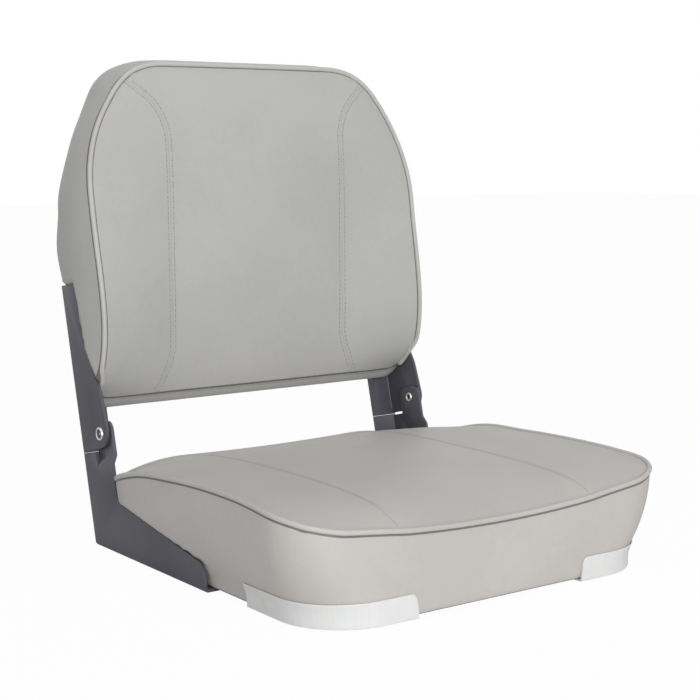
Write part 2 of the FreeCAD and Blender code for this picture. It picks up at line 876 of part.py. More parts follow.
def seat_walls(inset, bottom):
    """Sides of the seat: upright round the board, then swelling out to the welt and on above it."""
    narrow, wide = number(board_half), number(seat_half)
    plan = Part.Face(seat_outline(bottom, narrow, mm.board_rear_corner, inset))
    upright = plan.extrude(Vector(0, 0, mm.board_zone - bottom))
    sections = []
    for height, overhang in SEAT_SIDE:
        level = mm.board_zone + height * (mm.seat_height - mm.board_zone)
        half_width = narrow + overhang * (wide - narrow)
        rear_corner = mm.board_rear_corner + overhang * (mm.rear_corner - mm.board_rear_corner)
        sections.append(seat_outline(level, half_width, rear_corner, inset))
    return upright.fuse(Part.makeLoft(sections, True, False))


def seat_under(lowered):
    """All the space under the seat's top surface, which is lowered by a cover thickness."""
    half_width = number(seat_half)
    outer = half_width + past_side
    sections = []
    for share, side, seam, centre in SEAT_TOP:
        y = share * seat_depth - mm.seat_front
        top = mm.seat_height - lowered
        reach = carried_out(seam, side, half_width, outer)

        def place(u, v):
            return Vector(u, y, v)

        arcs = crest(outer, top + seam, top + reach, top + centre, mm.seam_place, mm.wing_crown, place)
        sections.append(closed_section(arcs, [place(-outer, -far_away), place(outer, -far_away)]))
    return Part.makeLoft(sections, True, False)


def seat_cover():
    """Sewn vinyl on the seat: three top panels and the side band, which turns in under the base pan."""
    panel = seat_walls(mm.piping_rebate, 0).common(seat_under(0)).cut(seat_under(mm.vinyl))
    wing = Part.makeBox(far_away, 2 * far_away, 2 * far_away, Vector(mm.seam_place, -far_away, -far_away))
    nodes = split_panels("seat", panel, wing)
    whole = seat_walls(0, -mm.vinyl)
    dents = plate_block(lower_outline, mm.cover_gap, far_away)
    inner_dents = plate_block(lower_outline, mm.cover_gap + mm.vinyl, far_away)
    cavity = seat_walls(mm.vinyl, 0).cut(inner_dents)
    margin = Part.Face(seat_outline(-mm.vinyl, number(board_half), mm.board_rear_corner, mm.cover_margin))
    band = whole.common(seat_under(mm.piping_rebate)).cut(dents).cut(cavity)
    band = band.cut(margin.extrude(Vector(0, 0, mm.vinyl)))
    band = band.cut(screw_bores(seat_screw_places, upwards, mm.gauge + mm.vinyl))
    nodes.append(new_feature("seat_side_band", band))
    return nodes


def seat_piping():
    """Cord once round the top edge, from the middle of the rear, where its two ends butt."""
    top, whole = seat_under(0), seat_walls(0, -mm.vinyl)
    points = welt_points(whole.common(top), top, whole, Vector(0, mm.seat_rear, mm.seat_height))
    last_run = points[0] - points[-1]
    points.append(points[0] - last_run.normalize() * mm.piping_join)
    return welt_cord("seat_piping", welt_line(points, upwards))


def seat_foam():
    """Foam on the base pan, clear of the cover and the welt cord all round."""
    inset = mm.vinyl + mm.foam_gap
    dents = plate_block(lower_outline, mm.cover_gap + inset, far_away)
    block = seat_walls(inset, mm.pan_thickness).common(seat_under(inset)).cut(dents)
    return new_feature("seat_foam", block)


def seat_base_pan():
    """Moulded base board: rounded plan, rib pockets below, bores for inserts, screws and vents."""
    body = new_body("seat_base_pan")
    inset = size.vinyl + size.cover_gap
    half = board_half - inset
    front = inset - size.seat_front
    rear = size.seat_rear - inset
    plan = new_sketch(body, "pan_plan", "XY_Plane")
    add_rectangle(plan, -half, front, half, rear)
    add_pad(body, "pan_board", plan, size.pan_thickness)
    for label, level, radius in (
        ("front_corners", front, size.front_corner - inset),
        ("rear_corners", rear, size.board_rear_corner - inset),
    ):
        add_round(
            body, label, radius,
            lambda edge, middle: near(middle.y, level) and near(middle.z, size.pan_thickness / 2),
        )

    bores = new_sketch(body, "insert_circles", "XY_Plane")
    seats = new_sketch(body, "insert_seat_circles", "XY_Plane", size.pan_thickness)
    for place in bolt_places:
        add_circle(bores, place, size.insert_barrel + 2 * size.screw_clearance)
        add_circle(seats, place, size.insert_flange + 2 * size.screw_clearance)
    add_pocket(body, "insert_bores", bores)
    add_pocket(body, "insert_seats", seats, size.insert_flange_thickness)

    screws = new_sketch(body, "screw_circles", "XY_Plane")
    for side in sides.values():
        for row in seat_screw_rows:
            add_circle(screws, (side * seat_screw_x, row), screw_hole)
    add_pocket(body, "screw_holes", screws)

    vents = new_sketch(body, "vent_circles", "XY_Plane")
    for x in (-1, 1):
        for y in (-1, 1):
            add_circle(vents, (x * size.vent_spacing / 2, y * size.vent_spacing / 2), size.vent_diameter)
    add_pocket(body, "vents", vents)

    ribs = new_sketch(body, "rib_pockets_plan", "XY_Plane")
    for side in sides.values():
        for step in (-2, -1, 0, 1, 2):
            middle = step * size.pocket_pitch
            inner = side * size.pocket_place
            outer = side * (size.pocket_place + size.pocket_width)
            left, right = (inner, outer) if side > 0 else (outer, inner)
            add_rectangle(ribs, left, middle - size.pocket_length / 2, right, middle + size.pocket_length / 2)
    add_pocket(body, "rib_pockets", ribs, size.pocket_depth, reverse=True)
    return body


def corner_guard(name, side):
    """Bent plastic strip round a front corner of the base, with a lip that is tacked on from below."""
    body = new_body(f"{name}_corner_guard")
    inner = board_half + size.cover_gap
    front = -(size.seat_front + size.cover_gap)
    wall = size.guard_wall
    under = -(size.vinyl + size.cover_gap)

    lip = new_sketch(body, "lip_plan", "XY_Plane", under)
    far_x, far_y = inner - size.guard_lip, front + size.guard_lip
    lip_points = [
        (inner + wall, front - wall), (inner + wall, -size.guard_side_end), (far_x, -size.guard_side_end),
        (far_x, far_y), (size.guard_front_end, far_y), (size.guard_front_end, front - wall),
    ]
    add_polygon(lip, [(side * x, y) for x, y in lip_points])
    add_pad(body, "lip", lip, wall, reverse=True)
    strip = new_sketch(body, "wall_plan", "XY_Plane", under)
    wall_points = [
        (inner + wall, front - wall), (inner + wall, -size.guard_side_end), (inner, -size.guard_side_end),
        (inner, front), (size.guard_front_end, front), (size.guard_front_end, front - wall),
    ]
    add_polygon(strip, [(side * x, y) for x, y in wall_points])
    add_pad(body, "wall", strip, size.guard_top - under)

    def upright_at(x, y):
        return lambda edge, middle: (
            edge.Curve.TypeId == "Part::GeomLine" and abs(edge.Curve.Direction.z) > 0.999
            and near(middle.x, side * x) and near(middle.y, y)
        )

    radius = size.front_corner + size.cover_gap
    add_round(body, "outer_bend", radius + wall, upright_at(inner + wall, front - wall))
    add_round(body, "inner_bend", radius, upright_at(inner, front))
    add_round(
        body, "front_end", size.guard_end_round,
        lambda edge, middle: near(middle.x, side * size.guard_front_end) and near(middle.z, size.guard_top),
    )
    add_round(
        body, "side_end", size.guard_end_round,
        lambda edge, middle: near(middle.y, -size.guard_side_end) and near(middle.z, size.guard_top),
    )
    tacks = new_sketch(body, "tack_circles", "XY_Plane")
    for x, y in tack_places():
        add_circle(tacks, (side * x, y), size.tack_shank + 2 * size.screw_clearance)
    add_pocket(body, "tack_holes", tacks)
    return body


def tack_places():
    """Tack places on a right-hand guard: one near each end of its lip."""
    return [
        (size.guard_front_end + size.tack_inset, size.tack_inset - size.seat_front),
        (board_half - size.tack_inset, -(size.guard_side_end + size.tack_inset)),
    ]


def guard_tacks():
    pattern = turned("tack_pattern", tack_profile())
    level = -(mm.vinyl + mm.cover_gap + mm.guard_wall)
    places = [
        Placement(Vector(side * number(x), number(y), level), turned_up)
        for side in sides.values() for x, y in tack_places()
    ]
    return copies("corner_guard_tacks", pattern, places)


def cover_staples():
    """Wire staples through the turned-in cover: between the guards, along the rear and beside the feet."""
    body = new_body("staple_pattern")
    sketch = new_sketch(body, "staple_outline", "XZ_Plane")
    half, wire, leg = size.staple_crown / 2, size.staple_wire, size.staple_leg
    add_polygon(sketch, [
        (-half, -wire), (half, -wire), (half, leg), (half - wire, leg),
        (half - wire, 0), (wire - half, 0), (wire - half, leg), (-half, leg),
    ])
    add_pad(body, "staple_wire_pad", sketch, wire, symmetric=True)
    front, rear = mm.staple_inset - mm.seat_front, mm.seat_rear - mm.staple_inset
    side_place = number(board_half) - mm.staple_inset
    front_row = range(-3, 4)
    rear_row = range(-4, 5)
    front_pitch = (mm.guard_front_end - mm.staple_clear) / front_row[-1]
    rear_pitch = (number(board_half) - mm.board_rear_corner) / rear_row[-1]
    side_row = [mm.staple_clear - mm.guard_side_end + step * mm.staple_side_pitch for step in (0, 1)]
    spots = [(step * front_pitch, front, 0) for step in front_row]
    spots += [(step * rear_pitch, rear, 0) for step in rear_row]
    spots += [(side * side_place, y, 90) for side in sides.values() for y in side_row]
    places = [
        Placement(Vector(x, y, -mm.vinyl), Rotation(Vector(0, 0, 1), turn)) for x, y, turn in spots
    ]
    return copies("seat_cover_staples", body, places)


# Backrest cushion

back_height = mm.back_top - mm.back_bottom


def back_outline(setback, growth, top_drop, bottom_rise, inset):
    """Front view of the backrest at one depth: upright sides, raked shoulders and a straight top."""
    side = number(back_half) + growth - inset
    top = mm.back_top - top_drop - inset
    bottom = mm.back_bottom + bottom_rise + inset
    shoulder = top - mm.shoulder_drop
    run = side - mm.shoulder_run
    half = [
        (side, bottom, mm.bottom_round - inset), (side, shoulder, mm.side_round - inset),
        (run, top, mm.top_round - inset),
    ]
    corners = half + [(-u, v, radius) for u, v, radius in reversed(half)]
    return rounded_wire(corners, lambda u, v: Vector(u, mm.back_face + setback, v))


def back_walls(inset):
    """Sides, top and bottom of the backrest, carried on past its face and its rear."""
    return Part.makeLoft([back_outline(*row, inset) for row in BACK_SIDE], True, False)


def back_behind(setback):
    """All the space behind the face, which is set back by a cover thickness."""
    half_width = number(back_half)
    outer = half_width + past_side
    sections = []
    for share, side, seam, centre in BACK_FACE:
        z = mm.back_bottom + share * back_height
        face = mm.back_face + setback
        reach = carried_out(seam, side, half_width, outer)

        def place(u, v):
            return Vector(u, -v, z)

        arcs = crest(outer, seam - face, reach - face, centre - face, mm.seam_place, mm.wing_crown, place)
        sections.append(closed_section(arcs, [place(-outer, -2 * far_away), place(outer, -2 * far_away)]))
    return Part.makeLoft(sections, True, False)


def rear_line(inset):
    """Rear of the backrest in side view: foot, bend and head, set forward from the rear flanges."""
    setback = size.gauge + size.cover_gap + inset
    bend_along = (size.rear_bend_height - floor_level) / cosine
    foot = arm_point(0, setback)
    bend = arm_point(bend_along, setback)
    head = (size.rear_top_setback - size.cover_gap - inset, size.back_top)
    return foot, bend, head


def back_ahead(inset):
    """All the space ahead of the rear surface, which is set forward by a cover thickness."""
    foot, bend, head = ([number(value) for value in place] for place in rear_line(inset))
    lean = (head[0] - bend[0]) / (head[1] - bend[1])
    over = (head[0] + lean * far_away, head[1] + far_away)
    corners = [
        (-far_away, foot[1], working_round), (*foot, working_round), (*bend, mm.rear_bend_round - inset),
        (*over, working_round), (-far_away, over[1], working_round),
    ]
    face = Part.Face(rounded_wire(corners, lambda u, v: Vector(-far_away, u, v)))
    return face.extrude(Vector(2 * far_away, 0, 0))


def back_wing():
    """Room of the right wing: it starts at the seam, which turns outwards below the top corner."""
    seam = mm.seam_place
    turn = mm.back_top - mm.flare_drop
    over = seam + far_away / tan(radians(mm.flare_angle))
    corners = [
        (seam, -far_away, working_round), (over + far_away, -far_away, working_round),
        (over + far_away, turn + far_away, working_round), (over, turn + far_away, working_round),
        (seam, turn, mm.flare_round),
    ]
    face = Part.Face(rounded_wire(corners, lambda u, v: Vector(u, -far_away, v)))
    return face.extrude(Vector(0, 3 * far_away, 0))


def back_welt():
    """Centre line of the backrest's cord: round the face, with both ends drawn in behind the side plates."""
    face, rear, whole = back_behind(0), back_ahead(0), back_walls(0)
    bottom_centre = Vector(0, mm.back_face, mm.back_bottom)
    ring = welt_points(whole.common(face).common(rear), face, whole, bottom_centre)
    lowest = mm.back_bottom + mm.piping_end_rise
    line = welt_line([point for point in ring if point.z > lowest], forwards)
    narrow = mm.bracket_span / 2 - mm.gauge - mm.cover_gap - mm.piping_diameter / 2
    for point in line:
        rise = point.z - mm.back_bottom - mm.piping_tuck_rise
        widest = narrow + max(0, rise) / 2
        point.x = min(widest, max(-widest, point.x))
    return line


def back_cover(line):
    """Sewn vinyl on the backrest: three face panels, the side band and the rear panel."""
    face, rear, whole = back_behind(0), back_ahead(0), back_walls(0)
    cord = cord_room(line)
    front_panel = back_walls(mm.piping_rebate).common(face).cut(back_behind(mm.vinyl)).cut(cord)
    nodes = split_panels("back", front_panel, back_wing())
    dents = plate_block(upper_outline, mm.cover_gap, far_away)
    inner_dents = plate_block(upper_outline, mm.cover_gap + mm.vinyl, far_away)
    cavity = back_walls(mm.vinyl).cut(inner_dents)
    room = back_behind(mm.piping_rebate).common(back_ahead(mm.vinyl))
    nodes.append(new_feature("back_side_band", whole.common(room).cut(dents).cut(cavity).cut(cord)))
    rear_panel = whole.common(rear).cut(back_ahead(mm.vinyl)).cut(dents)
    passed = mm.gauge + mm.cover_gap + 2 * mm.vinyl
    rear_panel = rear_panel.cut(screw_bores(back_screw_places, into_back, passed))
    nodes.append(new_feature("back_rear_panel", rear_panel))
    nodes.append(welt_cord("back_piping", line))
    return nodes


def back_foam(line):
    """Foam between the face panels and the back frame, clear of the cover and the welt cord all round."""
    inset = mm.vinyl + mm.foam_gap
    behind_foam = mm.vinyl + mm.frame_thickness + 2 * mm.cover_gap
    dents = plate_block(upper_outline, mm.cover_gap + inset, far_away)
    block = back_walls(inset).common(back_behind(inset)).common(back_ahead(behind_foam)).cut(dents)
    return new_feature("back_foam", block.cut(cord_room(line)))


def back_frame():
    """Moulded board behind the foam: bent like the rear, with rounded corners, windows and screw holes."""
    body = new_body("back_frame")
    rear_inset = size.vinyl + size.cover_gap
    front_inset = rear_inset + size.frame_thickness
    bottom_along = (size.back_bottom + size.frame_bottom_clear - floor_level) / cosine
    top = size.back_top - size.frame_top_clear

    def profile(inset):
        """Bottom, bend and top of the board's rear or front line."""
        foot, bend, head = rear_line(inset)
        bottom = arm_point(bottom_along, size.gauge + size.cover_gap + inset)
        lean = (head[0] - bend[0]) / (head[1] - bend[1])
        return [bottom, bend, (bend[0] + (top - bend[1]) * lean, top)]

    rear_points, front_points = profile(rear_inset), profile(front_inset)
    section = new_sketch(body, "board_section", "YZ_Plane")
    add_polygon(section, rear_points + front_points[::-1])
    add_pad(body, "board", section, 2 * frame_half, symmetric=True)
    add_round(body, "rear_bend", size.rear_bend_round - rear_inset, corner_at(rear_points[1]))
    add_round(body, "front_bend", size.rear_bend_round - front_inset, corner_at(front_points[1]))
    middle_of_bottom = number((rear_points[0][1] + front_points[0][1]) / 2)
    for label, level, radius in (
        ("top_corners", top, size.frame_top_corner),
        ("bottom_corners", middle_of_bottom, size.frame_bottom_corner),
    ):
        add_round(
            body, label, radius,
            lambda edge, middle: near(abs(middle.x), frame_half) and near(middle.z, level),
        )
    windows = new_sketch(body, "window_circles", "XZ_Plane")
    window_level = (size.back_bottom + size.back_top) / 2
    for x in (-1, 1):
        for z in (-1, 1):
            place = (x * size.frame_window_pitch / 2, window_level + z * size.frame_window_pitch / 2)
            add_circle(windows, place, size.frame_window)
    add_pocket(body, "windows", windows)
    holes = new_sketch(body, "screw_circles", "XZ_Plane")
    lean_on_arm(holes, *arm_point(0, 0))
    for side in sides.values():
        for row in back_screw_rows:
            add_circle(holes, (side * back_screw_x, row), screw_hole)
    add_pocket(body, "screw_holes", holes)
    return body


parts = []
for name, side in sides.items():
    parts.append(seat_bracket(name, side))
    parts.append(back_bracket(name, side))
    parts.append(hinge_rivet(name, side))
    parts.append(hinge_washer(name, side))
    parts.append(corner_guard(name, side))
parts.append(seat_base_pan())
parts.append(seat_screws())
parts.append(back_screws())
parts.append(mounting_inserts())
parts.append(guard_tacks())
parts.append(cover_staples())
parts.append(seat_foam())
parts.extend(seat_cover())
parts.append(seat_piping())
parts.append(back_frame())
back_line = back_welt()
parts.append(back_foam(back_line))
parts.extend(back_cover(back_line))
doc.recompute()

for item in doc.Objects:
    if "Invalid" in item.State or "Error" in item.State:
        raise ValueError(f"{item.Label} did not build: {item.State}")
os.makedirs("parts", exist_ok=True)
for part in parts:
    if part.Shape.isNull() or not part.Shape.isValid():
        raise ValueError(f"{part.Label} has no valid shape")
for part in parts:
    part.Shape.exportStep(f"parts/{part.Label}.step")
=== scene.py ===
"""Folding boat seat: padded vinyl seat and backrest on two pairs of folded steel hinge brackets."""

import bmesh
import bpy
import mathutils
import numpy as np
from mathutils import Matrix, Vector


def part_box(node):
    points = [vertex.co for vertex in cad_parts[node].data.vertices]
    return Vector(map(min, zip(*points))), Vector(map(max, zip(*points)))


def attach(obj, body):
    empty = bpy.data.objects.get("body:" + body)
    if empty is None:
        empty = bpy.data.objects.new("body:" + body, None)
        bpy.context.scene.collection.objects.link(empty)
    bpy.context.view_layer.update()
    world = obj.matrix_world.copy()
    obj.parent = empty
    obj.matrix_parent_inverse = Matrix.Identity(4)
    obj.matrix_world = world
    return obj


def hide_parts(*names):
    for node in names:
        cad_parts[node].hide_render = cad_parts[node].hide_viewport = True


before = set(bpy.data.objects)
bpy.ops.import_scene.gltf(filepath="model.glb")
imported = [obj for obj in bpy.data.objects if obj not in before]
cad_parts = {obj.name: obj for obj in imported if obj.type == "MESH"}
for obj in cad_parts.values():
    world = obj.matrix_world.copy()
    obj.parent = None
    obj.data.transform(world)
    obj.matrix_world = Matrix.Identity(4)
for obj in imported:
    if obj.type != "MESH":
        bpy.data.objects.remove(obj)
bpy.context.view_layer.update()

# Base pan and back frame: two moulded black plastic boards, the carcass that everything is screwed to.
# The moulds leave a fine matt texture, a little duller where the plastic flowed unevenly.


class Shade:
    """A value, colour or vector on its way through a finish; sums, differences and products add nodes."""

    def __init__(self, tree, socket=None):
        self.tree = tree
        self.socket = socket

    def node(self, kind, settings=None, inputs=None, output=0):
        """Any node: its settings first, then values or links by socket; gives one of its outputs."""
        made = self.tree.nodes.new(kind)
        for name, value in (settings or {}).items():
            setattr(made, name, value)
        for name, value in (inputs or {}).items():
            if isinstance(value, Shade):
                self.tree.links.new(value.socket, made.inputs[name])
            else:
                made.inputs[name].default_value = value
        return Shade(self.tree, made.outputs[output])

    def maths(self, operation, first, second):
        return self.node("ShaderNodeMath", {"operation": operation}, {0: first, 1: second})

    def __add__(self, other):
        return self.maths("ADD", self, other)

    def __sub__(self, other):
        return self.maths("SUBTRACT", self, other)

    def __rsub__(self, other):
        return self.maths("SUBTRACT", other, self)

    def __mul__(self, other):
        return self.maths("MULTIPLY", self, other)

    __radd__ = __add__
    __rmul__ = __mul__

    def to(self, shader, socket):
        self.tree.links.new(self.socket, shader.inputs[socket])


def new_finish(name, steady):
    """A finish with its steady values set: the material, its shader and the place on the piece."""
    material = bpy.data.materials.new(name)
    material.use_nodes = True
    shader = material.node_tree.nodes["Principled BSDF"]
    for socket, value in steady.items():
        shader.inputs[socket].default_value = value
    place = Shade(material.node_tree).node("ShaderNodeTexCoord", output=3)
    return material, shader, place


def noise(place, scale, detail=2.0):
    """Soft noise from 0 to 1, scale lumps to the metre."""
    return place.node("ShaderNodeTexNoise", None, {"Vector": place, "Scale": scale, "Detail": detail})


def blended(factor, first, second):
    """Colour that goes from the first to the second as the factor goes from 0 to 1."""
    return factor.node("ShaderNodeMix", {"data_type": "RGBA"}, {0: factor, 6: first, 7: second}, 2)


def eased(value, low, high, start=0.0, end=1.0):
    """Smooth step of a value from start, at low, to end, at high."""
    smooth = {"interpolation_type": "SMOOTHSTEP"}
    return value.node("ShaderNodeMapRange", smooth, {0: value, 1: low, 2: high, 3: start, 4: end})


def roughened(shader, height, strength, depth):
    """Bump of that height pattern on a shader, depth metres deep at full strength."""
    bump = height.node("ShaderNodeBump", None, {"Strength": strength, "Distance": depth, "Height": height})
    bump.to(shader, "Normal")


def grained_finish(name, dark, light, rough, grain, depth, steady=None):
    """Two close colours mixed by broad noise, roughness by finer noise, and a bump of grain lumps a metre."""
    material, shader, place = new_finish(name, steady or {})
    broad, fine = noise(place, grain / 40), noise(place, grain, 3.0)
    blended(eased(broad, 0.35, 0.65), (*dark, 1), (*light, 1)).to(shader, "Base Color")
    (rough[0] + (rough[1] - rough[0]) * noise(place, grain / 8)).to(shader, "Roughness")
    roughened(shader, fine, 0.5, depth)
    return material


def dress(names, material):
    """Gives CAD nodes their finish."""
    for name in names:
        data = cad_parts[name].data
        data.materials.clear()
        data.materials.append(material)


moulded_black = grained_finish(
    "moulded_black", (0.024, 0.024, 0.026), (0.034, 0.034, 0.036), (0.5, 0.62), 1600, 0.0002
)
dress(["seat_base_pan", "back_frame"], moulded_black)

# Threaded inserts, screws, tacks and staples: zinc plated steel hardware, pressed or driven into the boards.
# Plating is bright with faint cloudy patches and fine drawing marks.
zinc_plate = grained_finish(
    "zinc_plate", (0.56, 0.56, 0.55), (0.66, 0.66, 0.64), (0.24, 0.4), 2400, 0.00004, {"Metallic": 1.0}
)
dress(
    [
        "mounting_tee_nuts", "seat_bracket_screws", "back_bracket_screws",
        "corner_guard_tacks", "seat_cover_staples",
    ],
    zinc_plate,
)

# Seat cushion: one sewn vinyl cover over foam, stretched round the base pan and stapled below it.
# Wings and centre panel meet at two topstitched seams; the upright band swells out over the brackets.
seat_low, seat_high = (np.array(corner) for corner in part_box("seat_side_band"))
stuffing = 0.0022
seat_front, seat_rear, seat_half = seat_low[1], seat_high[1], seat_high[0] + stuffing
seat_height = 0.0935
board_half, board_zone = 0.188, 0.010
front_corner, rear_corner, board_front_corner, board_rear_corner = 0.050, 0.078, 0.062, 0.060
seam_place = 0.105
vinyl = 0.0012
cover_margin = 0.034
pan_thickness, pan_gap = 0.014, 0.0001
cells = 72


def unit(vectors):
    """Vectors brought to length 1."""
    return vectors / np.linalg.norm(vectors, axis=-1, keepdims=True)


def run_along(path):
    """Length of a path from its start to each of its points."""
    return np.concatenate([[0], np.cumsum(np.linalg.norm(np.diff(path, axis=0), axis=1))])


def at_runs(where, run, path):
    """Points of a path at the lengths along it that are asked for."""
    return np.stack([np.interp(where, run, values) for values in path.T], -1)


def ring_faces(here, following):
    """Four-sided faces between rings of points and the rings that follow them."""
    return np.stack([here, following, np.roll(following, -1, -1), np.roll(here, -1, -1)], -1).reshape(-1, 4)


def rounded_sides(corners, radii, breaks, count):
    """Closed outline of straight runs and tangent corner arcs, in count even steps from break to break.
    An arc's centre lies on the corner's bisector, radius / sin(half the corner's angle) from the corner."""
    arc_steps = 33
    share = np.linspace(0, 1, arc_steps)[:, None]
    corners = np.asarray(corners, float)
    arcs = []
    for before, here, after, radius in zip(np.roll(corners, 1, 0), corners, np.roll(corners, -1, 0), radii):
        back, ahead = unit(before - here), unit(after - here)
        half = np.arccos(back @ ahead) / 2
        centre = here + unit(back + ahead) * radius / np.sin(half)
        enter = here + back * radius / np.tan(half) - centre
        leave = here + ahead * radius / np.tan(half) - centre
        turn = np.pi - 2 * half
        swept = np.sin((1 - share) * turn) * enter + np.sin(share * turn) * leave
        arcs.append(centre + swept / np.sin(turn))
    ring = np.concatenate(arcs + arcs)
    starts = [arc_steps * index + arc_steps // 2 for index in breaks]
    ends = starts[1:] + [starts[0] + arc_steps * len(corners)]
    sides = []
    for start, end in zip(starts, ends):
        side = ring[start:end + 1]
        run = run_along(side)
        sides.append(at_runs(np.linspace(0, run[-1], count, endpoint=False), run, side))
    return np.concatenate(sides)


def smooth_line(places, values, where):
    """Cubic through a few points: its slope at each is that of the two chords beside it."""
    places, values = np.asarray(places, float), np.asarray(values, float)
    slopes = np.gradient(values, places)
    index = np.clip(np.searchsorted(places, where) - 1, 0, len(places) - 2)
    width = places[index + 1] - places[index]
    t = np.clip((where - places[index]) / width, 0, 1)
    rise = values[index + 1] - values[index]
    bend = t * (1 - t) * width * ((1 - t) * slopes[index] - t * slopes[index + 1])
    return values[index] + rise * t * t * (3 - 2 * t) + bend


def cap_plan(rim, count):
    """Square grid over a closed rim: a point's ring gives its share of the way out from the rim's middle,
    its place on that ring the point of the rim that it aims at."""
    step = np.linspace(-1, 1, count + 1)
    across, along = np.meshgrid(step, step, indexing="ij")
    ring = np.maximum(abs(across), abs(along))
    a, b = across / np.maximum(ring, 1e-9), along / np.maximum(ring, 1e-9)
    level = abs(along) >= abs(across)
    quarters = [level & (b < 0), level & (b > 0), a > 0]
    shares = [(a + 1) / 2, 2 + (1 - a) / 2, 1 + (b + 1) / 2]
    place = np.select(quarters, shares, 3 + (1 - b) / 2) * count
    lower = np.floor(place + 1e-6).astype(int)
    part = np.clip(place - lower, 0, 1)[..., None]
    aim = rim[lower % len(rim)] * (1 - part) + rim[(lower + 1) % len(rim)] * part
    middle = (rim.min(0) + rim.max(0)) / 2
    return (middle + ring[..., None] * (aim - middle)).reshape(-1, 2)


def rim_places(count):
    """Where a cap's rim lies in its grid, in the rim's own order."""
    run, last = np.arange(count), np.full(count, count)
    across = np.concatenate([run, last, count - run, 0 * run])
    along = np.concatenate([0 * run, run, last, count - run])
    return across * (count + 1) + along


def closed_cover(first_cap, rows, last_cap, count):
    """Points and faces of a closed form: a cap, rows of points round its rim, and a far cap."""
    cap_size = len(first_cap)
    grid = np.arange(cap_size).reshape(count + 1, count + 1)
    quads = np.stack([grid[:-1, :-1], grid[1:, :-1], grid[1:, 1:], grid[:-1, 1:]], -1).reshape(-1, 4)
    rim = rim_places(count)
    row_places = cap_size + np.arange(len(rows) * len(rim)).reshape(len(rows), len(rim))
    last_start = cap_size + row_places.size
    rings = np.concatenate([rim[None], row_places, last_start + rim[None]])
    walls = ring_faces(rings[:-1], rings[1:])
    points = np.concatenate([first_cap, rows.reshape(-1, 3), last_cap])
    return points, np.concatenate([quads, walls, last_start + quads[:, ::-1]])


def new_piece(name, points, faces, material, smooth=True):
    """An object at the origin whose place is in its mesh."""
    mesh = bpy.data.meshes.new(name)
    mesh.from_pydata(points.tolist(), [], faces if isinstance(faces, list) else faces.tolist())
    mesh.polygons.foreach_set("use_smooth", np.full(len(mesh.polygons), smooth))
    mesh.materials.append(material)
    piece = bpy.data.objects.new(name, mesh)
    bpy.context.scene.collection.objects.link(piece)
    return piece


def points_of(mesh):
    flat = np.empty(len(mesh.vertices) * 3)
    mesh.vertices.foreach_get("co", flat)
    return flat.reshape(-1, 3)


def place_points(mesh, points):
    mesh.vertices.foreach_set("co", np.ascontiguousarray(points).ravel())
    mesh.update()


def evened(mesh, values, rounds):
    """Values at a mesh's points, each drawn half way to the mean of its neighbours', a few times over."""
    ends = np.empty(len(mesh.edges) * 2, int)
    mesh.edges.foreach_get("vertices", ends)
    first, second = ends[0::2], ends[1::2]
    neighbours = np.bincount(ends, minlength=len(values))[:, None]
    for turn in range(rounds):
        total = np.zeros_like(values)
        np.add.at(total, first, values[second])
        np.add.at(total, second, values[first])
        values = (values + total / neighbours) / 2
    return values


def swell(piece, held, farthest):
    """Cover under air pressure for 20 frames, fixed where it is held; no point goes past the limit, and what
    each point has moved is evened out with its neighbours, as a taut cover lies."""
    start = points_of(piece.data)
    group = piece.vertex_groups.new(name="held")
    group.add(np.flatnonzero(held).tolist(), 1.0, "REPLACE")
    cloth = piece.modifiers.new("swell", "CLOTH")
    cloth.settings.quality = 6
    cloth.settings.mass = 0.4
    cloth.settings.tension_stiffness = cloth.settings.compression_stiffness = 18
    cloth.settings.shear_stiffness = 9
    cloth.settings.bending_stiffness = 10
    cloth.settings.use_pressure = True
    cloth.settings.uniform_pressure_force = 4
    cloth.settings.effector_weights.gravity = 0
    cloth.settings.vertex_group_mass = "held"
    cloth.settings.shrink_min = 0
    cloth.collision_settings.use_collision = False
    scene = bpy.context.scene
    for number in range(1, 21):
        scene.frame_set(number)
    shaped = piece.evaluated_get(bpy.context.evaluated_depsgraph_get())
    moved = points_of(shaped.data) - start
    piece.modifiers.remove(cloth)
    piece.vertex_groups.remove(group)
    scene.frame_set(1)
    reach = np.linalg.norm(moved, axis=1, keepdims=True)
    moved = moved * np.tanh(reach / farthest) * farthest / np.maximum(reach, 1e-9)
    moved = evened(piece.data, moved, 6) * ~held[:, None]
    place_points(piece.data, start + moved)


def subdivided(piece):
    """One smooth subdivision, made part of the mesh."""
    finer = piece.modifiers.new("finer", "SUBSURF")
    finer.levels = finer.render_levels = 1
    mesh = bpy.data.meshes.new_from_object(piece.evaluated_get(bpy.context.evaluated_depsgraph_get()))
    piece.modifiers.remove(finer)
    coarse = piece.data
    piece.data = mesh
    bpy.data.meshes.remove(coarse)


def keep_values(mesh, name, values):
    """A value for each point of a mesh, for its finish to read."""
    mesh.attributes.new(name, "FLOAT", "POINT").data.foreach_set("value", np.asarray(values, np.float32))


def seat_plan(half, front_round, rear_round, inset):
    """Plan of the seat, drawn in by the inset: four rounded corners, each side from corner to corner."""
    side, front, rear = half - inset, seat_front + inset, seat_rear - inset
    corners = [(-side, front), (side, front), (side, rear), (-side, rear)]
    radii = [front_round - inset, front_round - inset, rear_round - inset, rear_round - inset]
    return rounded_sides(corners, radii, (0, 1, 2, 3), cells)


def board_plan(inset):
    """Plan of the cover round the base pan, drawn in by the inset."""
    return seat_plan(board_half, board_front_corner, board_rear_corner, inset)


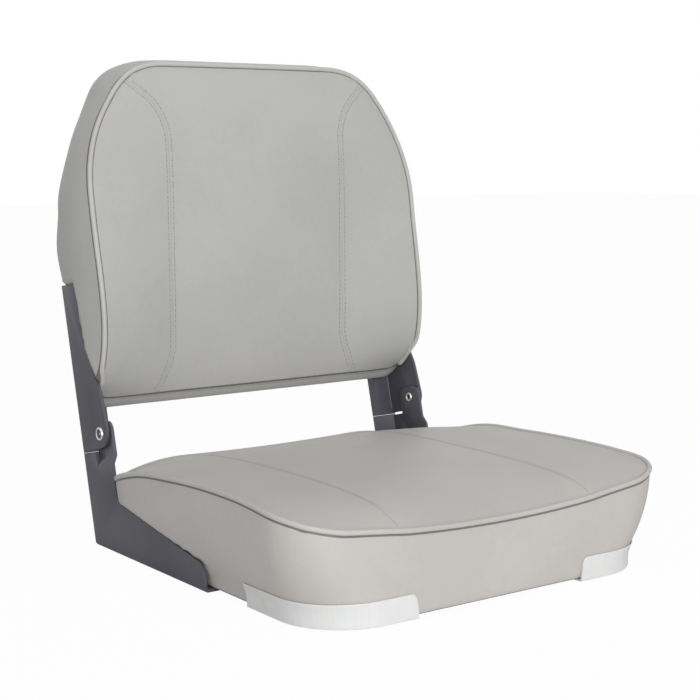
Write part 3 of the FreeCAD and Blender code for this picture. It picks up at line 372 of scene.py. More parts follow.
# Height of the seat over its nominal top, from front to rear: at the side, at the seam and in the middle;
# then the bow of the wings, and how far the left side stands over the right
seat_shares = (-0.05, 0, 0.08, 0.2, 0.36, 0.56, 0.74, 0.84, 0.92, 1, 1.06)
seat_side_rise = np.array((-16.5, -9.8, -3, 1.8, 3.4, 1.2, -4, -14, -29, -44, -54)) / 1000
seat_seam_rise = np.array((-33, -20.5, -8.5, -3.5, -1.5, -1.5, -2.5, -5, -9.5, -16, -23)) / 1000
seat_centre_rise = np.array((-38, -24.5, -11.5, -4.5, -0.5, 0, -2, -5, -10.5, -18, -26)) / 1000
seat_wing_bow = np.array((1, 1.2, 1.8, 2, 2, 2, 3, 5, 6.5, 7.5, 7.5)) / 1000
seat_lean = np.array((0, 0, 1, 2.3, 2.6, 1.8, 0, -0.5, -0.5, -0.5, -0.5)) / 1000


def crown(x, half, side, seam, centre, bow):
    """Across a cushion: a shallow arch between the seams, and on each wing a slope from seam to side that
    bows up in its middle."""
    across = abs(x)
    out = (across - seam_place) / (half - seam_place)
    arch = centre + (seam - centre) * (across / seam_place) ** 2
    wing = seam + (side - seam) * out + 4 * bow * out * (1 - out)
    return np.where(across < seam_place, arch, wing)


def seat_top(x, y):
    """Height of the seat's top: three lines from front to rear, joined across by the crown, then the lean."""
    share = (y - seat_front) / (seat_rear - seat_front)
    tables = (seat_side_rise, seat_seam_rise, seat_centre_rise, seat_wing_bow)
    lines = (smooth_line(seat_shares, table, share) for table in tables)
    lean = smooth_line(seat_shares, seat_lean, share) * x / seat_half
    return seat_height + crown(x, seat_half, *lines) - lean


def overhang(z):
    """Share of the swelling from the board's width to the welt's, by height."""
    height = (z - board_zone) / (seat_height - board_zone)
    heights, shares = (-0.2, 0, 0.25, 0.5, 0.75, 1.1, 1.6), (0, 0.02, 0.47, 0.8, 0.96, 1, 1)
    return smooth_line(heights, shares, height)[..., None]


def seat_form():
    """Top cap, rows down the swelling band and the upright board, in under the pan and back over it."""
    narrow, wide = board_plan(0), seat_plan(seat_half, front_corner, rear_corner, 0)
    welt_height = seat_top(*wide.T)
    welt = narrow + (wide - narrow) * overhang(welt_height)
    top = cap_plan(welt, cells)
    top_height = seat_top(*top.T)
    rows = []
    for fall in np.linspace(0, 1, 14)[1:]:
        height = welt_height + (board_zone - welt_height) * fall
        plan = narrow + (wide - narrow) * overhang(height)
        rows.append(np.column_stack([plan, height]))
    lining, hem = vinyl + pan_gap, cover_margin - 2 * pan_gap
    under = [(0, 0.005), (0.0005, 0.0008), (0.003, -vinyl), (0.012, -vinyl), (0.024, -vinyl), (hem, -vinyl)]
    under += [(cover_margin, -vinyl / 2), (hem, -pan_gap), (0.020, -pan_gap), (0.008, -pan_gap)]
    under += [(lining, -pan_gap), (lining, pan_thickness / 2), (lining, pan_thickness + 2 * pan_gap)]
    for inset, height in under:
        plan = board_plan(inset)
        rows.append(np.column_stack([plan, np.full(len(plan), height)]))
    floor = cap_plan(board_plan(0.004), cells)
    top_cap = np.column_stack([top, top_height])
    floor_cap = np.column_stack([floor, np.full(len(floor), pan_thickness + 3 * pan_gap)])
    return closed_cover(top_cap, np.array(rows), floor_cap, cells)


def nearness(distance, width):
    """1 on a line, falling off smoothly to either side."""
    return np.exp(-((distance / width) ** 2))


arm_lean = np.radians(13.8)
arm_foot = np.array((0.200, -0.0042))
plate_face, plate_clear, plate_lip = 0.192, 0.0004, 0.002


def arm_point(along, width):
    """Side view place on a hinge arm: so far along its rear edge, so far ahead of it."""
    up = np.array((np.sin(arm_lean), np.cos(arm_lean)))
    ahead = np.array((-np.cos(arm_lean), np.sin(arm_lean)))
    return arm_foot + up * along + ahead * width


def depth_inside(places, outline):
    """Distance of places inside an outline, negative outside: that of its nearest edge, with the sign by how
    many edges a ray to the right crosses."""
    outline = np.asarray(outline)
    nearest = np.full(len(places), np.inf)
    crossed = np.zeros(len(places), int)
    for start, end in zip(outline, np.roll(outline, -1, 0)):
        edge = end - start
        share = np.clip((places - start) @ edge / (edge @ edge), 0, 1)
        nearest = np.minimum(nearest, np.linalg.norm(places - start - share[:, None] * edge, axis=1))
        spans = (start[1] > places[:, 1]) != (end[1] > places[:, 1])
        rise = edge[1] if edge[1] else 1.0
        crossed += spans & (places[:, 0] < start[0] + edge[0] * (places[:, 1] - start[1]) / rise)
    return np.where(crossed % 2 == 1, nearest, -nearest)


def pressed_by_plates(points, outline, roll):
    """Cover held flat behind the side plates, rolling out over their edges on an arc."""
    outside = np.maximum(0, -depth_inside(points[:, 1:], outline) - plate_lip)
    room = plate_face - plate_clear + np.sqrt(outside * 2 * roll)
    pressed = points.copy()
    pressed[:, 0] = np.clip(points[:, 0], -room, room)
    return pressed


foot_front, foot_front_height = -0.015, 0.0208
arm_width = 0.060
foot_meets_arm = arm_point(0.0390, arm_width)
lower_plate = [
    (foot_front, arm_foot[1]), arm_point(0, 0), arm_point(0.130, 0), arm_point(0.130, arm_width),
    foot_meets_arm, (foot_front, foot_front_height),
]


def grained_vinyl(name, warm, pale):
    """Light grey vinyl: pebbled grain about a millimetre across and a cloudy tone; gives the material, its
    shader, the place on it, the tone and the height of the grain."""
    material, shader, place = new_finish(name, {"Specular IOR Level": 0.4})
    cloud, mottle = noise(place, 9, 3.0), noise(place, 160, 2.0)
    tone = blended(eased(cloud * 0.75 + mottle * 0.25, 0.38, 0.62), (*warm, 1), (*pale, 1))
    (0.40 + 0.12 * mottle + 0.06 * cloud).to(shader, "Roughness")
    pebble = place.node(
        "ShaderNodeTexVoronoi", {"feature": "SMOOTH_F1"}, {"Vector": place, "Scale": 820, "Smoothness": 0.6}
    )
    return material, shader, place, tone, noise(place, 2300, 2.0) * 0.35 - pebble


stitch_pitch, stitch_length, thread = 0.0052, 0.0036, 0.00042
row_offset = 0.0032


def sewn_vinyl(name, warm, pale, twin, seam_shade_strength, fade):
    """Vinyl with its sewing and painted shade: thin dark lines along the welt and in the seams, and dark
    needle holes, one between every two stitches of a row, from the gaps and the run kept with the mesh; a
    seam's shade may fade in with its run."""
    material, shader, place, tone, grain = grained_vinyl(name, warm, pale)
    marks = ("welt_gap", "seam_gap", "seam_run")
    welt, gap, run = (place.node("ShaderNodeAttribute", {"attribute_name": mark}, None, 2) for mark in marks)
    seam = gap.maths("ABSOLUTE", gap, 0.0)
    beside = (seam if twin else gap) - row_offset
    row = beside.maths("ABSOLUTE", beside, 0.0)
    step = run.maths("FRACT", run * (1 / stitch_pitch), 0.0) - 0.5
    between = eased(step.maths("ABSOLUTE", step, 0.0), 0.07, 0.15, 1.0, 0.0)
    needle_hole_and_shade = eased(row, 0.0003, 0.0009, 1.0, 0.0) * between
    # Painted shade: a dark line beside the welt cord, a dark line down each seam and dark needle holes
    # between stitches; the seam and needle masks also dent the bump.
    welt_shade = eased(welt, 0.0022, 0.0030, 1.0, 0.0)
    seam_groove_and_shade = eased(seam, 0.0002, 0.0011, 1.0, 0.0) * eased(run, *fade)
    painted_shade_colour = (0.115, 0.111, 0.107, 1)
    blended(welt_shade * 0.85 + seam_groove_and_shade * seam_shade_strength + needle_hole_and_shade * 0.6, tone, painted_shade_colour).to(shader, "Base Color")
    roughened(shader, grain - seam_groove_and_shade * 1.5 - needle_hole_and_shade * 1.5, 0.32, 0.0004)
    return material


def near_path(points, path):
    """Distance of each point from the nearest of a path's points, and which that is, block by block."""
    found = []
    for block in np.array_split(points, max(1, len(points) // 1500)):
        distance = ((block[:, None] - path[None]) ** 2).sum(2)
        index = distance.argmin(1)
        found.append(np.column_stack([np.sqrt(distance[np.arange(len(block)), index]), index]))
    gap, index = np.concatenate(found).T
    return gap, index.astype(int)


def along_path(path, pitch, closed=False):
    """Even steps along a path, about a pitch apart."""
    line = np.concatenate([path, path[:1]]) if closed else path
    run = run_along(line)
    return at_runs(np.linspace(0, run[-1], int(run[-1] / pitch) + 1, endpoint=not closed), run, line)


def from_loop(points, loop):
    """Distance of points from a closed line, taken in millimetre steps."""
    return near_path(points, along_path(loop, 0.001, closed=True))[0]


def values_of(mesh, name):
    values = np.empty(len(mesh.vertices), np.float32)
    mesh.attributes[name].data.foreach_get("value", values)
    return values


def eased_cap(mesh, points, rim, on_cap):
    """Points with one cap evened out away from its rim, and how free each is: 0 at the rim, 1 inside."""
    free = np.where(on_cap, np.clip(near_path(points, points[rim])[0] / ease_width, 0, 1), 0)
    return points + free[:, None] * (evened(mesh, points, ease_rounds) - points), free


def fixed_to(piece, body, slot_name, *nodes):
    """Puts a piece on its body, in place of the nodes that it stands for; slot_name is not used."""
    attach(piece, body)
    if nodes:
        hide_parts(*nodes)


ease_width, ease_rounds = 0.03, 8
seam_rise, seam_dip, seam_hold = 0.0015, 0.02, 0.004
guard_hold, plate_hold, slack = 0.026, 0.004, 0.003
seat_roll = 0.012
far_off, sewn_in = 1.0, 0.99
# The seat's seams get painted shade at 0.4 strength, fading in between 2 and 5 cm along their run.
seat_vinyl = sewn_vinyl("seat_vinyl", (0.552, 0.529, 0.507), (0.584, 0.561, 0.538), False, 0.4, (0.02, 0.05))


def make_seat_cushion():
    """The cover's form, its top eased over the seams, let out a little by the pressure and pressed by the
    plates; gives the cushion and the line of its welt."""
    points, faces = seat_form()
    rim = rim_places(cells)
    cushion = new_piece("seat_cushion", points, faces, seat_vinyl)
    top = np.arange(len(points)) < (cells + 1) ** 2
    points, free = eased_cap(cushion.data, points, rim, top)
    from_seam = abs(abs(points[:, 0]) - seam_place)
    points[:, 2] -= seam_rise * free * (1 - nearness(from_seam, seam_dip))
    place_points(cushion.data, points)
    keep_values(cushion.data, "top", top)
    held = points[:, 2] < guard_hold
    held[rim] = True
    held |= top & (from_seam < seam_hold)
    held |= depth_inside(points[:, 1:], lower_plate) > -plate_hold
    swell(cushion, held, slack)
    subdivided(cushion)
    points = pressed_by_plates(points_of(cushion.data), lower_plate, seat_roll)
    place_points(cushion.data, points)
    welt = points[rim]
    on_top = values_of(cushion.data, "top") > sewn_in
    from_seam = np.where(on_top, abs(points[:, 0]) - seam_place, far_off)
    # The welt gap, shifted a little on the top and more on the band, places the painted shade line beside the
    # cord.
    keep_values(cushion.data, "welt_gap", from_loop(points, welt) + np.where(on_top, 0.0002, -0.0012))
    keep_values(cushion.data, "seam_gap", from_seam)
    keep_values(cushion.data, "seam_run", points[:, 1] - seat_front)
    return cushion, welt


seat_cushion, seat_welt = make_seat_cushion()
fixed_to(
    seat_cushion, "seat", "cover_vinyl", "seat_centre_panel", "left_seat_wing_panel", "right_seat_wing_panel",
    "seat_side_band", "seat_foam",
)

# Seat piping: a welt cord in a strip of the same vinyl, sewn in all round the top edge of the seat.
# Its two ends butt at the middle of the rear.
cord_radius = 0.0024


def path_frame(path, face_normal, closed=False):
    """Directions of length 1 at each point of a path: along it, sideways in the face and off the face."""
    ahead = unit(np.roll(path, -1, 0) - np.roll(path, 1, 0) if closed else np.gradient(path, axis=0))
    sideways = unit(np.cross(ahead, face_normal))
    return ahead, sideways, np.cross(sideways, ahead)


other_way = (0, 3, 2, 1)


def tube(path, face_normal, radius, closed):
    """Round section carried along a path: sideways by cos and off the face by sin of the angle round it."""
    sections = 14
    ahead, sideways, lifted = path_frame(path, face_normal, closed)
    angle = np.linspace(0, 2 * np.pi, sections, endpoint=False)
    girth = np.broadcast_to(radius, len(path))[:, None, None]
    ring = np.cos(angle)[:, None] * sideways[:, None] + np.sin(angle)[:, None] * lifted[:, None]
    points = path[:, None] + girth * ring
    index = np.arange(len(path) * sections).reshape(len(path), sections)
    following = np.roll(index, -1, 0) if closed else index[1:]
    here = index if closed else index[:-1]
    return points.reshape(-1, 3), ring_faces(here, following)[:, other_way]


def gathers(count, pitch):
    """Slight swelling and drawing in of a covered cord: a few waves of unequal length, added up."""
    along = np.arange(count) * pitch
    return 1 + 0.012 * np.sin(along / 0.0041) * np.sin(along / 0.0173) + 0.01 * np.sin(along / 0.031 + 1)


def eased_path(path, rounds, closed):
    """Each point drawn to the middle of its neighbours a few times."""
    for step in range(rounds):
        middle = (np.roll(path, 1, 0) + np.roll(path, -1, 0)) / 2
        eased_points = (path + middle) / 2
        if not closed:
            eased_points[[0, -1]] = path[[0, -1]]
        path = eased_points
    return path


cord_pitch = 0.004
seat_line = eased_path(along_path(seat_welt, cord_pitch, closed=True), 3, closed=True)
upwards, forwards = np.array((0.0, 0.0, 1.0)), np.array((0.0, -1.0, 0.0))
seat_outward = path_frame(seat_line, upwards, closed=True)[1]
cord_proud = 0.0005
seat_line = seat_line + (seat_outward + upwards) * cord_proud


def cord_vinyl():
    """The cover's vinyl, a little paler where it is stretched over the cord."""
    warm, pale = (0.545, 0.534, 0.514), (0.580, 0.569, 0.549)
    material, shader, place, tone, grain = grained_vinyl("piping_vinyl", warm, pale)
    tone.to(shader, "Base Color")
    roughened(shader, grain, 0.28, 0.0004)
    return material


piping_vinyl = cord_vinyl()
seat_girth = cord_radius * gathers(len(seat_line), cord_pitch)
seat_welt_cord = new_piece("seat_welt_cord", *tube(seat_line, upwards, seat_girth, closed=True), piping_vinyl)
fixed_to(seat_welt_cord, "seat", "piping_vinyl", "seat_piping")

# Seat stitching: one row of polyester thread beside each seam, short stitches with a small gap between.
# The thread is sunk into the vinyl at each needle hole.


def lifted_onto(places, plan, heights):
    """Height of a cover at places in its plan: the mean of its four nearest points, the nearer for more."""
    distance = ((places[:, None] - plan[None]) ** 2).sum(2)
    nearest = np.argsort(distance, axis=1)[:, :4]
    weight = 1 / (np.take_along_axis(distance, nearest, 1) + 1e-8)
    return (heights[nearest] * weight).sum(1) / weight.sum(1)


def stitches(path, face_normal):
    """Short thread capsules along a path: a round section whose girth rises and falls from end to end."""
    along_share = np.array((-0.5, -0.36, 0, 0.36, 0.5))
    girth = np.array((0.1, 0.8, 1, 0.8, 0.1))
    sink = np.array((-1.2, -0.2, 0.35, -0.2, -1.2)) * thread
    angle = np.linspace(0, 2 * np.pi, 6, endpoint=False)
    ahead, sideways, off = path_frame(path, face_normal)
    spine = path[:, None] + along_share[None, :, None] * stitch_length * ahead[:, None]
    spine = spine + sink[None, :, None] * off[:, None]
    ring = np.cos(angle)[:, None] * sideways[:, None] + np.sin(angle)[:, None] * off[:, None]
    points = spine[:, :, None] + thread * girth[None, :, None, None] * ring[:, None]
    index = np.arange(points[..., 0].size).reshape(points.shape[:3])
    faces = ring_faces(index[:, :-1], index[:, 1:])[:, other_way]
    ends = np.concatenate([index[:, 0, ::-1], index[:, -1]])
    return points.reshape(-1, 3), faces, ends


def thread_finish():
    """Grey thread: fine twist lines across it and a soft sheen."""
    material, shader, place = new_finish("thread", {"Sheen Weight": 0.2})
    twist = noise(place, 3200, 1.0)
    blended(twist, (0.34, 0.33, 0.315, 1), (0.47, 0.455, 0.435, 1)).to(shader, "Base Color")
    (0.55 + 0.2 * twist).to(shader, "Roughness")
    roughened(shader, twist, 0.4, 0.0002)
    return material


welt_clear, row_reach = 0.0055, 0.012


def inside_welt(row, welt):
    """The stitches of a row from its middle out to where it comes near the welt."""
    close = np.flatnonzero(from_loop(row, welt) < welt_clear)
    middle = len(row) // 2
    first = close[close < middle].max(initial=-1) + 1
    last = close[close >= middle].min(initial=len(row))
    return row[first:last]


def joined(rows):
    """Points and faces of several rows of stitches as one."""
    starts = np.cumsum([0] + [len(points) for points, faces, ends in rows[:-1]])
    kinds = [(kind + start).tolist() for start, (points, *both) in zip(starts, rows) for kind in both]
    return np.concatenate([points for points, faces, ends in rows]), sum(kinds, [])


sewing_thread = thread_finish()
seat_points = points_of(seat_cushion.data)
seat_skin = seat_points[values_of(seat_cushion.data, "top") > sewn_in]
seat_rows = []
for side in (-1, 1):
    y = seat_front + np.arange(2, int((seat_rear - seat_front) / stitch_pitch)) * stitch_pitch
    plan = np.column_stack([np.full(len(y), side * (seam_place + row_offset)), y])
    near_row = seat_skin[abs(seat_skin[:, 0] - side * seam_place) < row_reach]
    row = np.column_stack([plan, lifted_onto(plan, near_row[:, :2], near_row[:, 2])])
    seat_rows.append(stitches(inside_welt(row, seat_welt), upwards))
seat_stitching = new_piece("seat_stitching", *joined(seat_rows), sewing_thread)
fixed_to(seat_stitching, "seat", "piping_vinyl")

# Corner guards: soft translucent plastic strips wrapped round the two front corners and tacked from below.
# They lean out with the cover behind them and are milky, with faint upright streaks from the drawing.
guard_low, guard_top, guard_wall, guard_gap = -0.0027, 0.0192, 0.0014, 0.0003
guard_lip, guard_round = 0.018, 0.0035
guard_side_reach, guard_front_reach, side_slant, front_slant = 0.1005, 0.0815, 0.0015, 0.0006
boss_place, boss_height, boss_length, boss_rise, boss_proud = -0.065, 0.008, 0.010, 0.0048, 0.0008


def milky_plastic():
    """Cloudy soft plastic: milky white, light spreading in it, satin, streaked along its height."""
    cloudy = {"Subsurface Weight": 0.1, "Subsurface Scale": 0.004}
    material, shader, place = new_finish("milky_plastic", cloudy)
    drawn = place.node("ShaderNodeMapping", None, {"Vector": place, "Scale": (1, 1, 0.05)})
    streak, flow = noise(drawn, 380, 2.0), noise(place, 70, 3.0)
    dull, white = (0.75, 0.745, 0.74, 1), (0.85, 0.845, 0.84, 1)
    blended(streak * 0.6 + flow * 0.4, dull, white).to(shader, "Base Color")
    (0.26 + 0.16 * flow).to(shader, "Roughness")
    roughened(shader, streak, 0.2, 0.0003)
    return material


def guard_strip():
    """Left guard: columns along the board's plan and, in each, a loop up the outside, over the top, down the
    inside and along the lip below; the ends slant a little and their upper corners are rounded."""
    narrow, wide = board_plan(0), seat_plan(seat_half, front_corner, rear_corner, 0)
    order = np.arange(-cells, cells)
    run = run_along(narrow[order])
    run = run - run[cells]
    outward = unit(np.gradient(narrow[order], axis=0))[:, ::-1] * (1, -1)
    along = np.linspace(0, 1, 130)[:, None]
    end_gap = np.minimum(along, 1 - along) * (guard_side_reach + guard_front_reach)
    shortfall = np.maximum(guard_round - end_gap, 0)
    top = guard_top - guard_round + np.sqrt(guard_round ** 2 - shortfall ** 2)
    outer, inner = guard_gap + guard_wall, guard_gap
    rise = np.linspace(0, 1, 14)
    lift = np.concatenate([[0], 0.05 + 0.9 * rise, [0.985, 1, 1, 0.985], 1 - rise[2:-1], [0.075, 0.075, 0]])
    out = np.concatenate([
        [outer - 0.0006], np.full(14, outer), [outer - 0.0002, outer - 0.0005],
        [inner + 0.0005, inner + 0.0001], np.full(12, inner), [-guard_lip, -guard_lip],
    ])
    height = guard_low + (top - guard_low) * lift
    slant = 2 * (height - guard_low) / (guard_top - guard_low) - 1
    start, end = -guard_side_reach - side_slant * slant, guard_front_reach - front_slant * slant
    place = start + (end - start) * along
    oval = ((place - boss_place) / boss_length) ** 2 + ((height - boss_height) / boss_rise) ** 2
    out = out + boss_proud * np.sqrt(np.clip(1 - oval, 0, 1)) * (out > inner + guard_wall / 2)
    plans = [at_runs(place, run, plan[order]) for plan in (narrow, wide)]
    normal = at_runs(place, run, outward)
    flat = plans[0] + (plans[1] - plans[0]) * overhang(height) + normal * out[..., None]
    points = np.concatenate([flat, height[..., None]], -1)
    index = np.arange(height.size).reshape(height.shape)
    faces = ring_faces(index[:-1], index[1:])
    return points.reshape(-1, 3), faces.tolist() + [index[0].tolist(), index[-1, ::-1].tolist()]


milky = milky_plastic()
guard_points, guard_faces = guard_strip()
for name, side in (("left", 1), ("right", -1)):
    faces = [face[::side] for face in guard_faces]
    guard = new_piece(f"{name}_guard_strip", guard_points * (side, 1, 1), faces, milky)
    guard.data.set_sharp_from_angle(angle=np.radians(50))
    fixed_to(guard, "seat", "guard_plastic", f"{name}_corner_guard")

# Hinge brackets: four folded steel plates, charcoal powder coated after punching and folding.
# The lower pair is screwed up under the base pan, the upper pair to the rear of the backrest.


def powder_coat():
    """Charcoal powder coat: fine orange peel, a touch browner in patches."""
    material, shader, place = new_finish("powder_coat", {"Specular IOR Level": 0.45})
    peel, patch = noise(place, 1100, 2.0), noise(place, 14, 3.0)
    cool, warm = (0.083, 0.085, 0.104, 1), (0.098, 0.097, 0.117, 1)
    blended(eased(patch, 0.35, 0.65), cool, warm).to(shader, "Base Color")
    (0.27 + 0.10 * peel + 0.05 * patch).to(shader, "Roughness")
    roughened(shader, peel, 0.35, 0.0003)
    return material


long_fold, fold_round, rim_round = 0.03, 0.0016, 0.0005
charcoal = powder_coat()


def softened(name, node, body):
    """A bracket's own solid with its loose triangles merged, its folds rounded inside and its rims eased."""
    shape = bmesh.new()
    shape.from_mesh(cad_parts[node].data)
    bmesh.ops.remove_doubles(shape, verts=shape.verts, dist=1e-6)
    bmesh.ops.dissolve_limit(
        shape, angle_limit=np.radians(1.0), verts=shape.verts, edges=shape.edges, delimit=set()
    )
    for convex, shortest, offset, segments in ((False, long_fold, fold_round, 4), (True, 0, rim_round, 2)):
        sharp = [edge for edge in shape.edges if edge.is_manifold and edge.calc_face_angle() > np.radians(40)]
        edges = [edge for edge in sharp if edge.is_convex == convex and edge.calc_length() > shortest]
        bmesh.ops.bevel(
            shape, geom=edges, offset=offset, offset_type="OFFSET", segments=segments, profile=0.5,
            affect="EDGES", clamp_overlap=True,
        )
    mesh = bpy.data.meshes.new(name)
    shape.to_mesh(mesh)
    shape.free()
    mesh.polygons.foreach_set("use_smooth", np.full(len(mesh.polygons), True))
    mesh.set_sharp_from_angle(angle=np.radians(32))
    mesh.materials.clear()
    mesh.materials.append(charcoal)
    piece = bpy.data.objects.new(name, mesh)
    bpy.context.scene.collection.objects.link(piece)
    fixed_to(piece, body, "bracket_coat", node)


for side in ("left", "right"):
    softened(f"{side}_lower_hinge_plate", f"{side}_seat_bracket", "seat")
    softened(f"{side}_upper_hinge_plate", f"{side}_back_bracket", "backrest")

# Hinge rivets and washers: bright tubular steel rivets through both brackets, with a nylon washer between.
# The rivets' rims are rolled over; a painted highlight makes them a bright ring round the bore, with painted
# shade inside.
nylon = grained_finish("nylon", (0.72, 0.72, 0.69), (0.80, 0.80, 0.77), (0.4, 0.5), 1500, 0.0001)
dress(["left_hinge_washer", "right_hinge_washer"], nylon)
hinge_depth, hinge_height = 0.18415, 0.1107
# Profile from the middle of the head to the bottom of the bore: out from the middle plane, off the axis, and
# how much painted highlight it gets
rivet_profile = np.array((
    (196.2, 0.2, 1), (196.1, 0.7, 0.9), (195.7, 1.1, 0.2), (195.6, 1.7, 0), (195.6, 3.7, 0),
    (195.9, 4.4, 0.1), (196.7, 4.8, 0.7), (197.1, 5.4, 1), (197.0, 6.1, 1), (196.4, 6.6, 1),
    (195.1, 6.75, 0.6), (195.1, 4, 0), (187.9, 4, 0), (187.9, 5.25, 0.5), (187.2, 5.2, 1),
    (186.4, 4.6, 1), (186.3, 3.9, 1), (186.7, 3.1, 0.8), (187.6, 2.6, 0.2), (193, 2.5, 0),
    (193.3, 0.2, 0),
))


def rolled_steel():
    """Plated rivet: a painted highlight on its rolled rims, with painted shade and paint making the dish and
    the bore dark.
    """
    material, shader, place = new_finish("rolled_steel", {})
    rim = place.node("ShaderNodeAttribute", {"attribute_name": "rim"}, None, 2)
    smear = noise(place, 900, 3.0)
    # The rim values, less a random smear, give the painted highlight on the rims, the painted shade in the
    # dish and bore, and the metal share.
    bright = eased(rim - 0.25 * smear, 0.2, 0.6)
    blended(bright, (0.075, 0.074, 0.08, 1), (0.74, 0.74, 0.73, 1)).to(shader, "Base Color")
    (0.9 * bright).to(shader, "Metallic")
    (0.42 - 0.18 * bright + 0.1 * smear).to(shader, "Roughness")
    return material


def turned_rivet(name, side, material):
    """The profile carried round the hinge axis: cos and sin of the angle times the distance off the axis."""
    out, off, bright = rivet_profile.T * np.array((0.001, 0.001, 1))[:, None]
    angle = np.linspace(0, 2 * np.pi, 40, endpoint=False)
    depth, height = hinge_depth + off[:, None] * np.cos(angle), hinge_height + off[:, None] * np.sin(angle)
    points = np.stack(np.broadcast_arrays(side * out[:, None], depth, height), -1)
    index = np.arange(points[..., 0].size).reshape(points.shape[:2])
    rings = ring_faces(index[:-1], index[1:]).tolist() + [index[0].tolist(), index[-1, ::-1].tolist()]
    piece = new_piece(name, points.reshape(-1, 3), [ring[::side] for ring in rings], material)
    # Each ring keeps its profile point's painted highlight share as the rim value.
    keep_values(piece.data, "rim", np.repeat(bright, len(angle)))
    piece.data.set_sharp_from_angle(angle=np.radians(60))
    return piece


bright_rivet = rolled_steel()
for name, side in (("left", -1), ("right", 1)):
    rivet = turned_rivet(f"{name}_rolled_rivet", side, bright_rivet)
    fixed_to(rivet, "seat", "bright_steel", f"{name}_hinge_rivet")

# Backrest cushion: a dished vinyl face of three panels, a boxing band and a rear panel over foam and frame.
# The side plates press the band flat; the twin-stitched seams turn out towards the top and bottom corners.
back_half, back_bottom, back_top, back_face = 0.1963, 0.131, 0.4750, 0.197
shoulder_drop, shoulder_run, rear_shoulder_drop, rear_shoulder_run = 0.0855, 0.0575, 0.1010, 0.0490
side_round, top_round, rear_side_round, rear_top_round, bottom_round = 0.170, 0.070, 0.198, 0.0470, 0.022
rear_edge_round, back_wing_bow, boxing_bulge = 0.006, 0.003, 0.0028
wall_setbacks = np.array((-75, 0, 12, 20, 30, 63, 95)) / 1000
wall_growth = np.array((-7, -0.4, 0.7, 1, 1.2, 0.4, -0.4)) / 1000
wall_top_drop = np.array((-1, 0, 1.2, 2, 2.6, 0.5, 4)) / 1000
wall_bottom_rise = np.array((10.5, 10.5, 10, 2.5, -3.5, 0, 0)) / 1000
wall_square = np.array((0, 0, 0, 0.1, 0.25, 0.9, 1))
back_shares = (
    -0.055, 0.023, 0.07, 0.116, 0.186, 0.264, 0.386, 0.51, 0.626, 0.725, 0.81, 0.884, 0.95, 1, 1.05,
)
back_side_lead = np.array((-38, -16, 4, 17, 25, 27, 22, 13.5, 6.5, -2, -10.5, -18, -24.5, -27.5, -31)) / 1000
back_seam_lead = np.array((-21, -9.5, -4, -2, -0.8, 0, 0.5, 0.8, 1, 0.5, -2, -5, -11.5, -20, -32)) / 1000
back_centre_lead = np.array((-19.5, -8, -1, 2.2, 4.2, 5.3, 6, 6.2, 6.5, 6, 3.5, 0, -8, -18.5, -30.5)) / 1000


def back_plan(growth, top_drop, bottom_rise, square, inset):
    """Front view outline: upright sides, raked shoulders and a straight top, drawn in by the inset; the
    shoulders go from the face's to the rear's with the square share."""
    side, top = back_half + growth - inset, back_top - top_drop - inset
    bottom = back_bottom + bottom_rise + inset
    drop = shoulder_drop + (rear_shoulder_drop - shoulder_drop) * square
    run = side - shoulder_run - (rear_shoulder_run - shoulder_run) * square
    level = top - drop
    corners = [(-side, bottom), (side, bottom), (side, level), (run, top), (-run, top), (-side, level)]
    lower = side_round + (rear_side_round - side_round) * square
    upper = top_round + (rear_top_round - top_round) * square
    radii = np.array((bottom_round, bottom_round, lower, upper, upper, lower)) - inset
    return rounded_sides(corners, radii, (0, 1, 3, 4), cells)


def back_wall(setback, inset=0.0):
    """Outline at each point's own setback behind the face plane, between the drawn outlines."""
    rows = zip(wall_growth, wall_top_drop, wall_bottom_rise, wall_square)
    plans = np.array([back_plan(*row, inset) for row in rows])
    index = np.clip(np.searchsorted(wall_setbacks, setback) - 1, 0, len(wall_setbacks) - 2)
    share = ((setback - wall_setbacks[index]) / (wall_setbacks[index + 1] - wall_setbacks[index]))[:, None]
    column = np.arange(len(setback))
    return plans[index, column] * (1 - share) + plans[index + 1, column] * share


def face_place(x, z):
    """How far back the face lies: three lines up the face, joined across by the crown."""
    share = (z - back_bottom) / (back_top - back_bottom)
    tables = (back_side_lead, back_seam_lead, back_centre_lead)
    lines = (smooth_line(back_shares, table, share) for table in tables)
    return back_face - crown(x, back_half, *lines, back_wing_bow)


rear_heights = (0.10, 0.13, 0.19, 0.25, 0.285, 0.325, 0.375, 0.43, 0.475, 0.50)
rear_depths = (0.2222, 0.2296, 0.2443, 0.2590, 0.2735, 0.2700, 0.2648, 0.2690, 0.2705, 0.2700)


def rear_place(z):
    """How far back the rear lies: along the arms, full over the flanges, then nearly upright."""
    return smooth_line(rear_heights, rear_depths, z)


frame_half, frame_top, frame_corner = 0.184, 0.4275, 0.100
frame_heights = (0.10, 0.31, 0.33, 0.35, 0.43, 0.50)
frame_depths = (0.2214, 0.2728, 0.2755, 0.2754, 0.2708, 0.2700)
frame_skin, frame_edge = 0.0018, 0.006


def over_frame(x, z):
    """How far back the rear cover lies: drawn tight over the frame, falling off in a round past its edges."""
    aside, above = abs(x) - frame_half + frame_corner, z - frame_top + frame_corner
    past = np.maximum(np.hypot(np.maximum(aside, 0), np.maximum(above, 0)) - frame_corner, 0)
    tight = np.interp(z, frame_heights, frame_depths) + frame_skin - past ** 2 / (2 * frame_edge)
    return np.maximum(rear_place(z), tight)


def upright(plan, depth):
    """Front view places and their depths as points."""
    return np.column_stack([plan[:, 0], depth, plan[:, 1]])


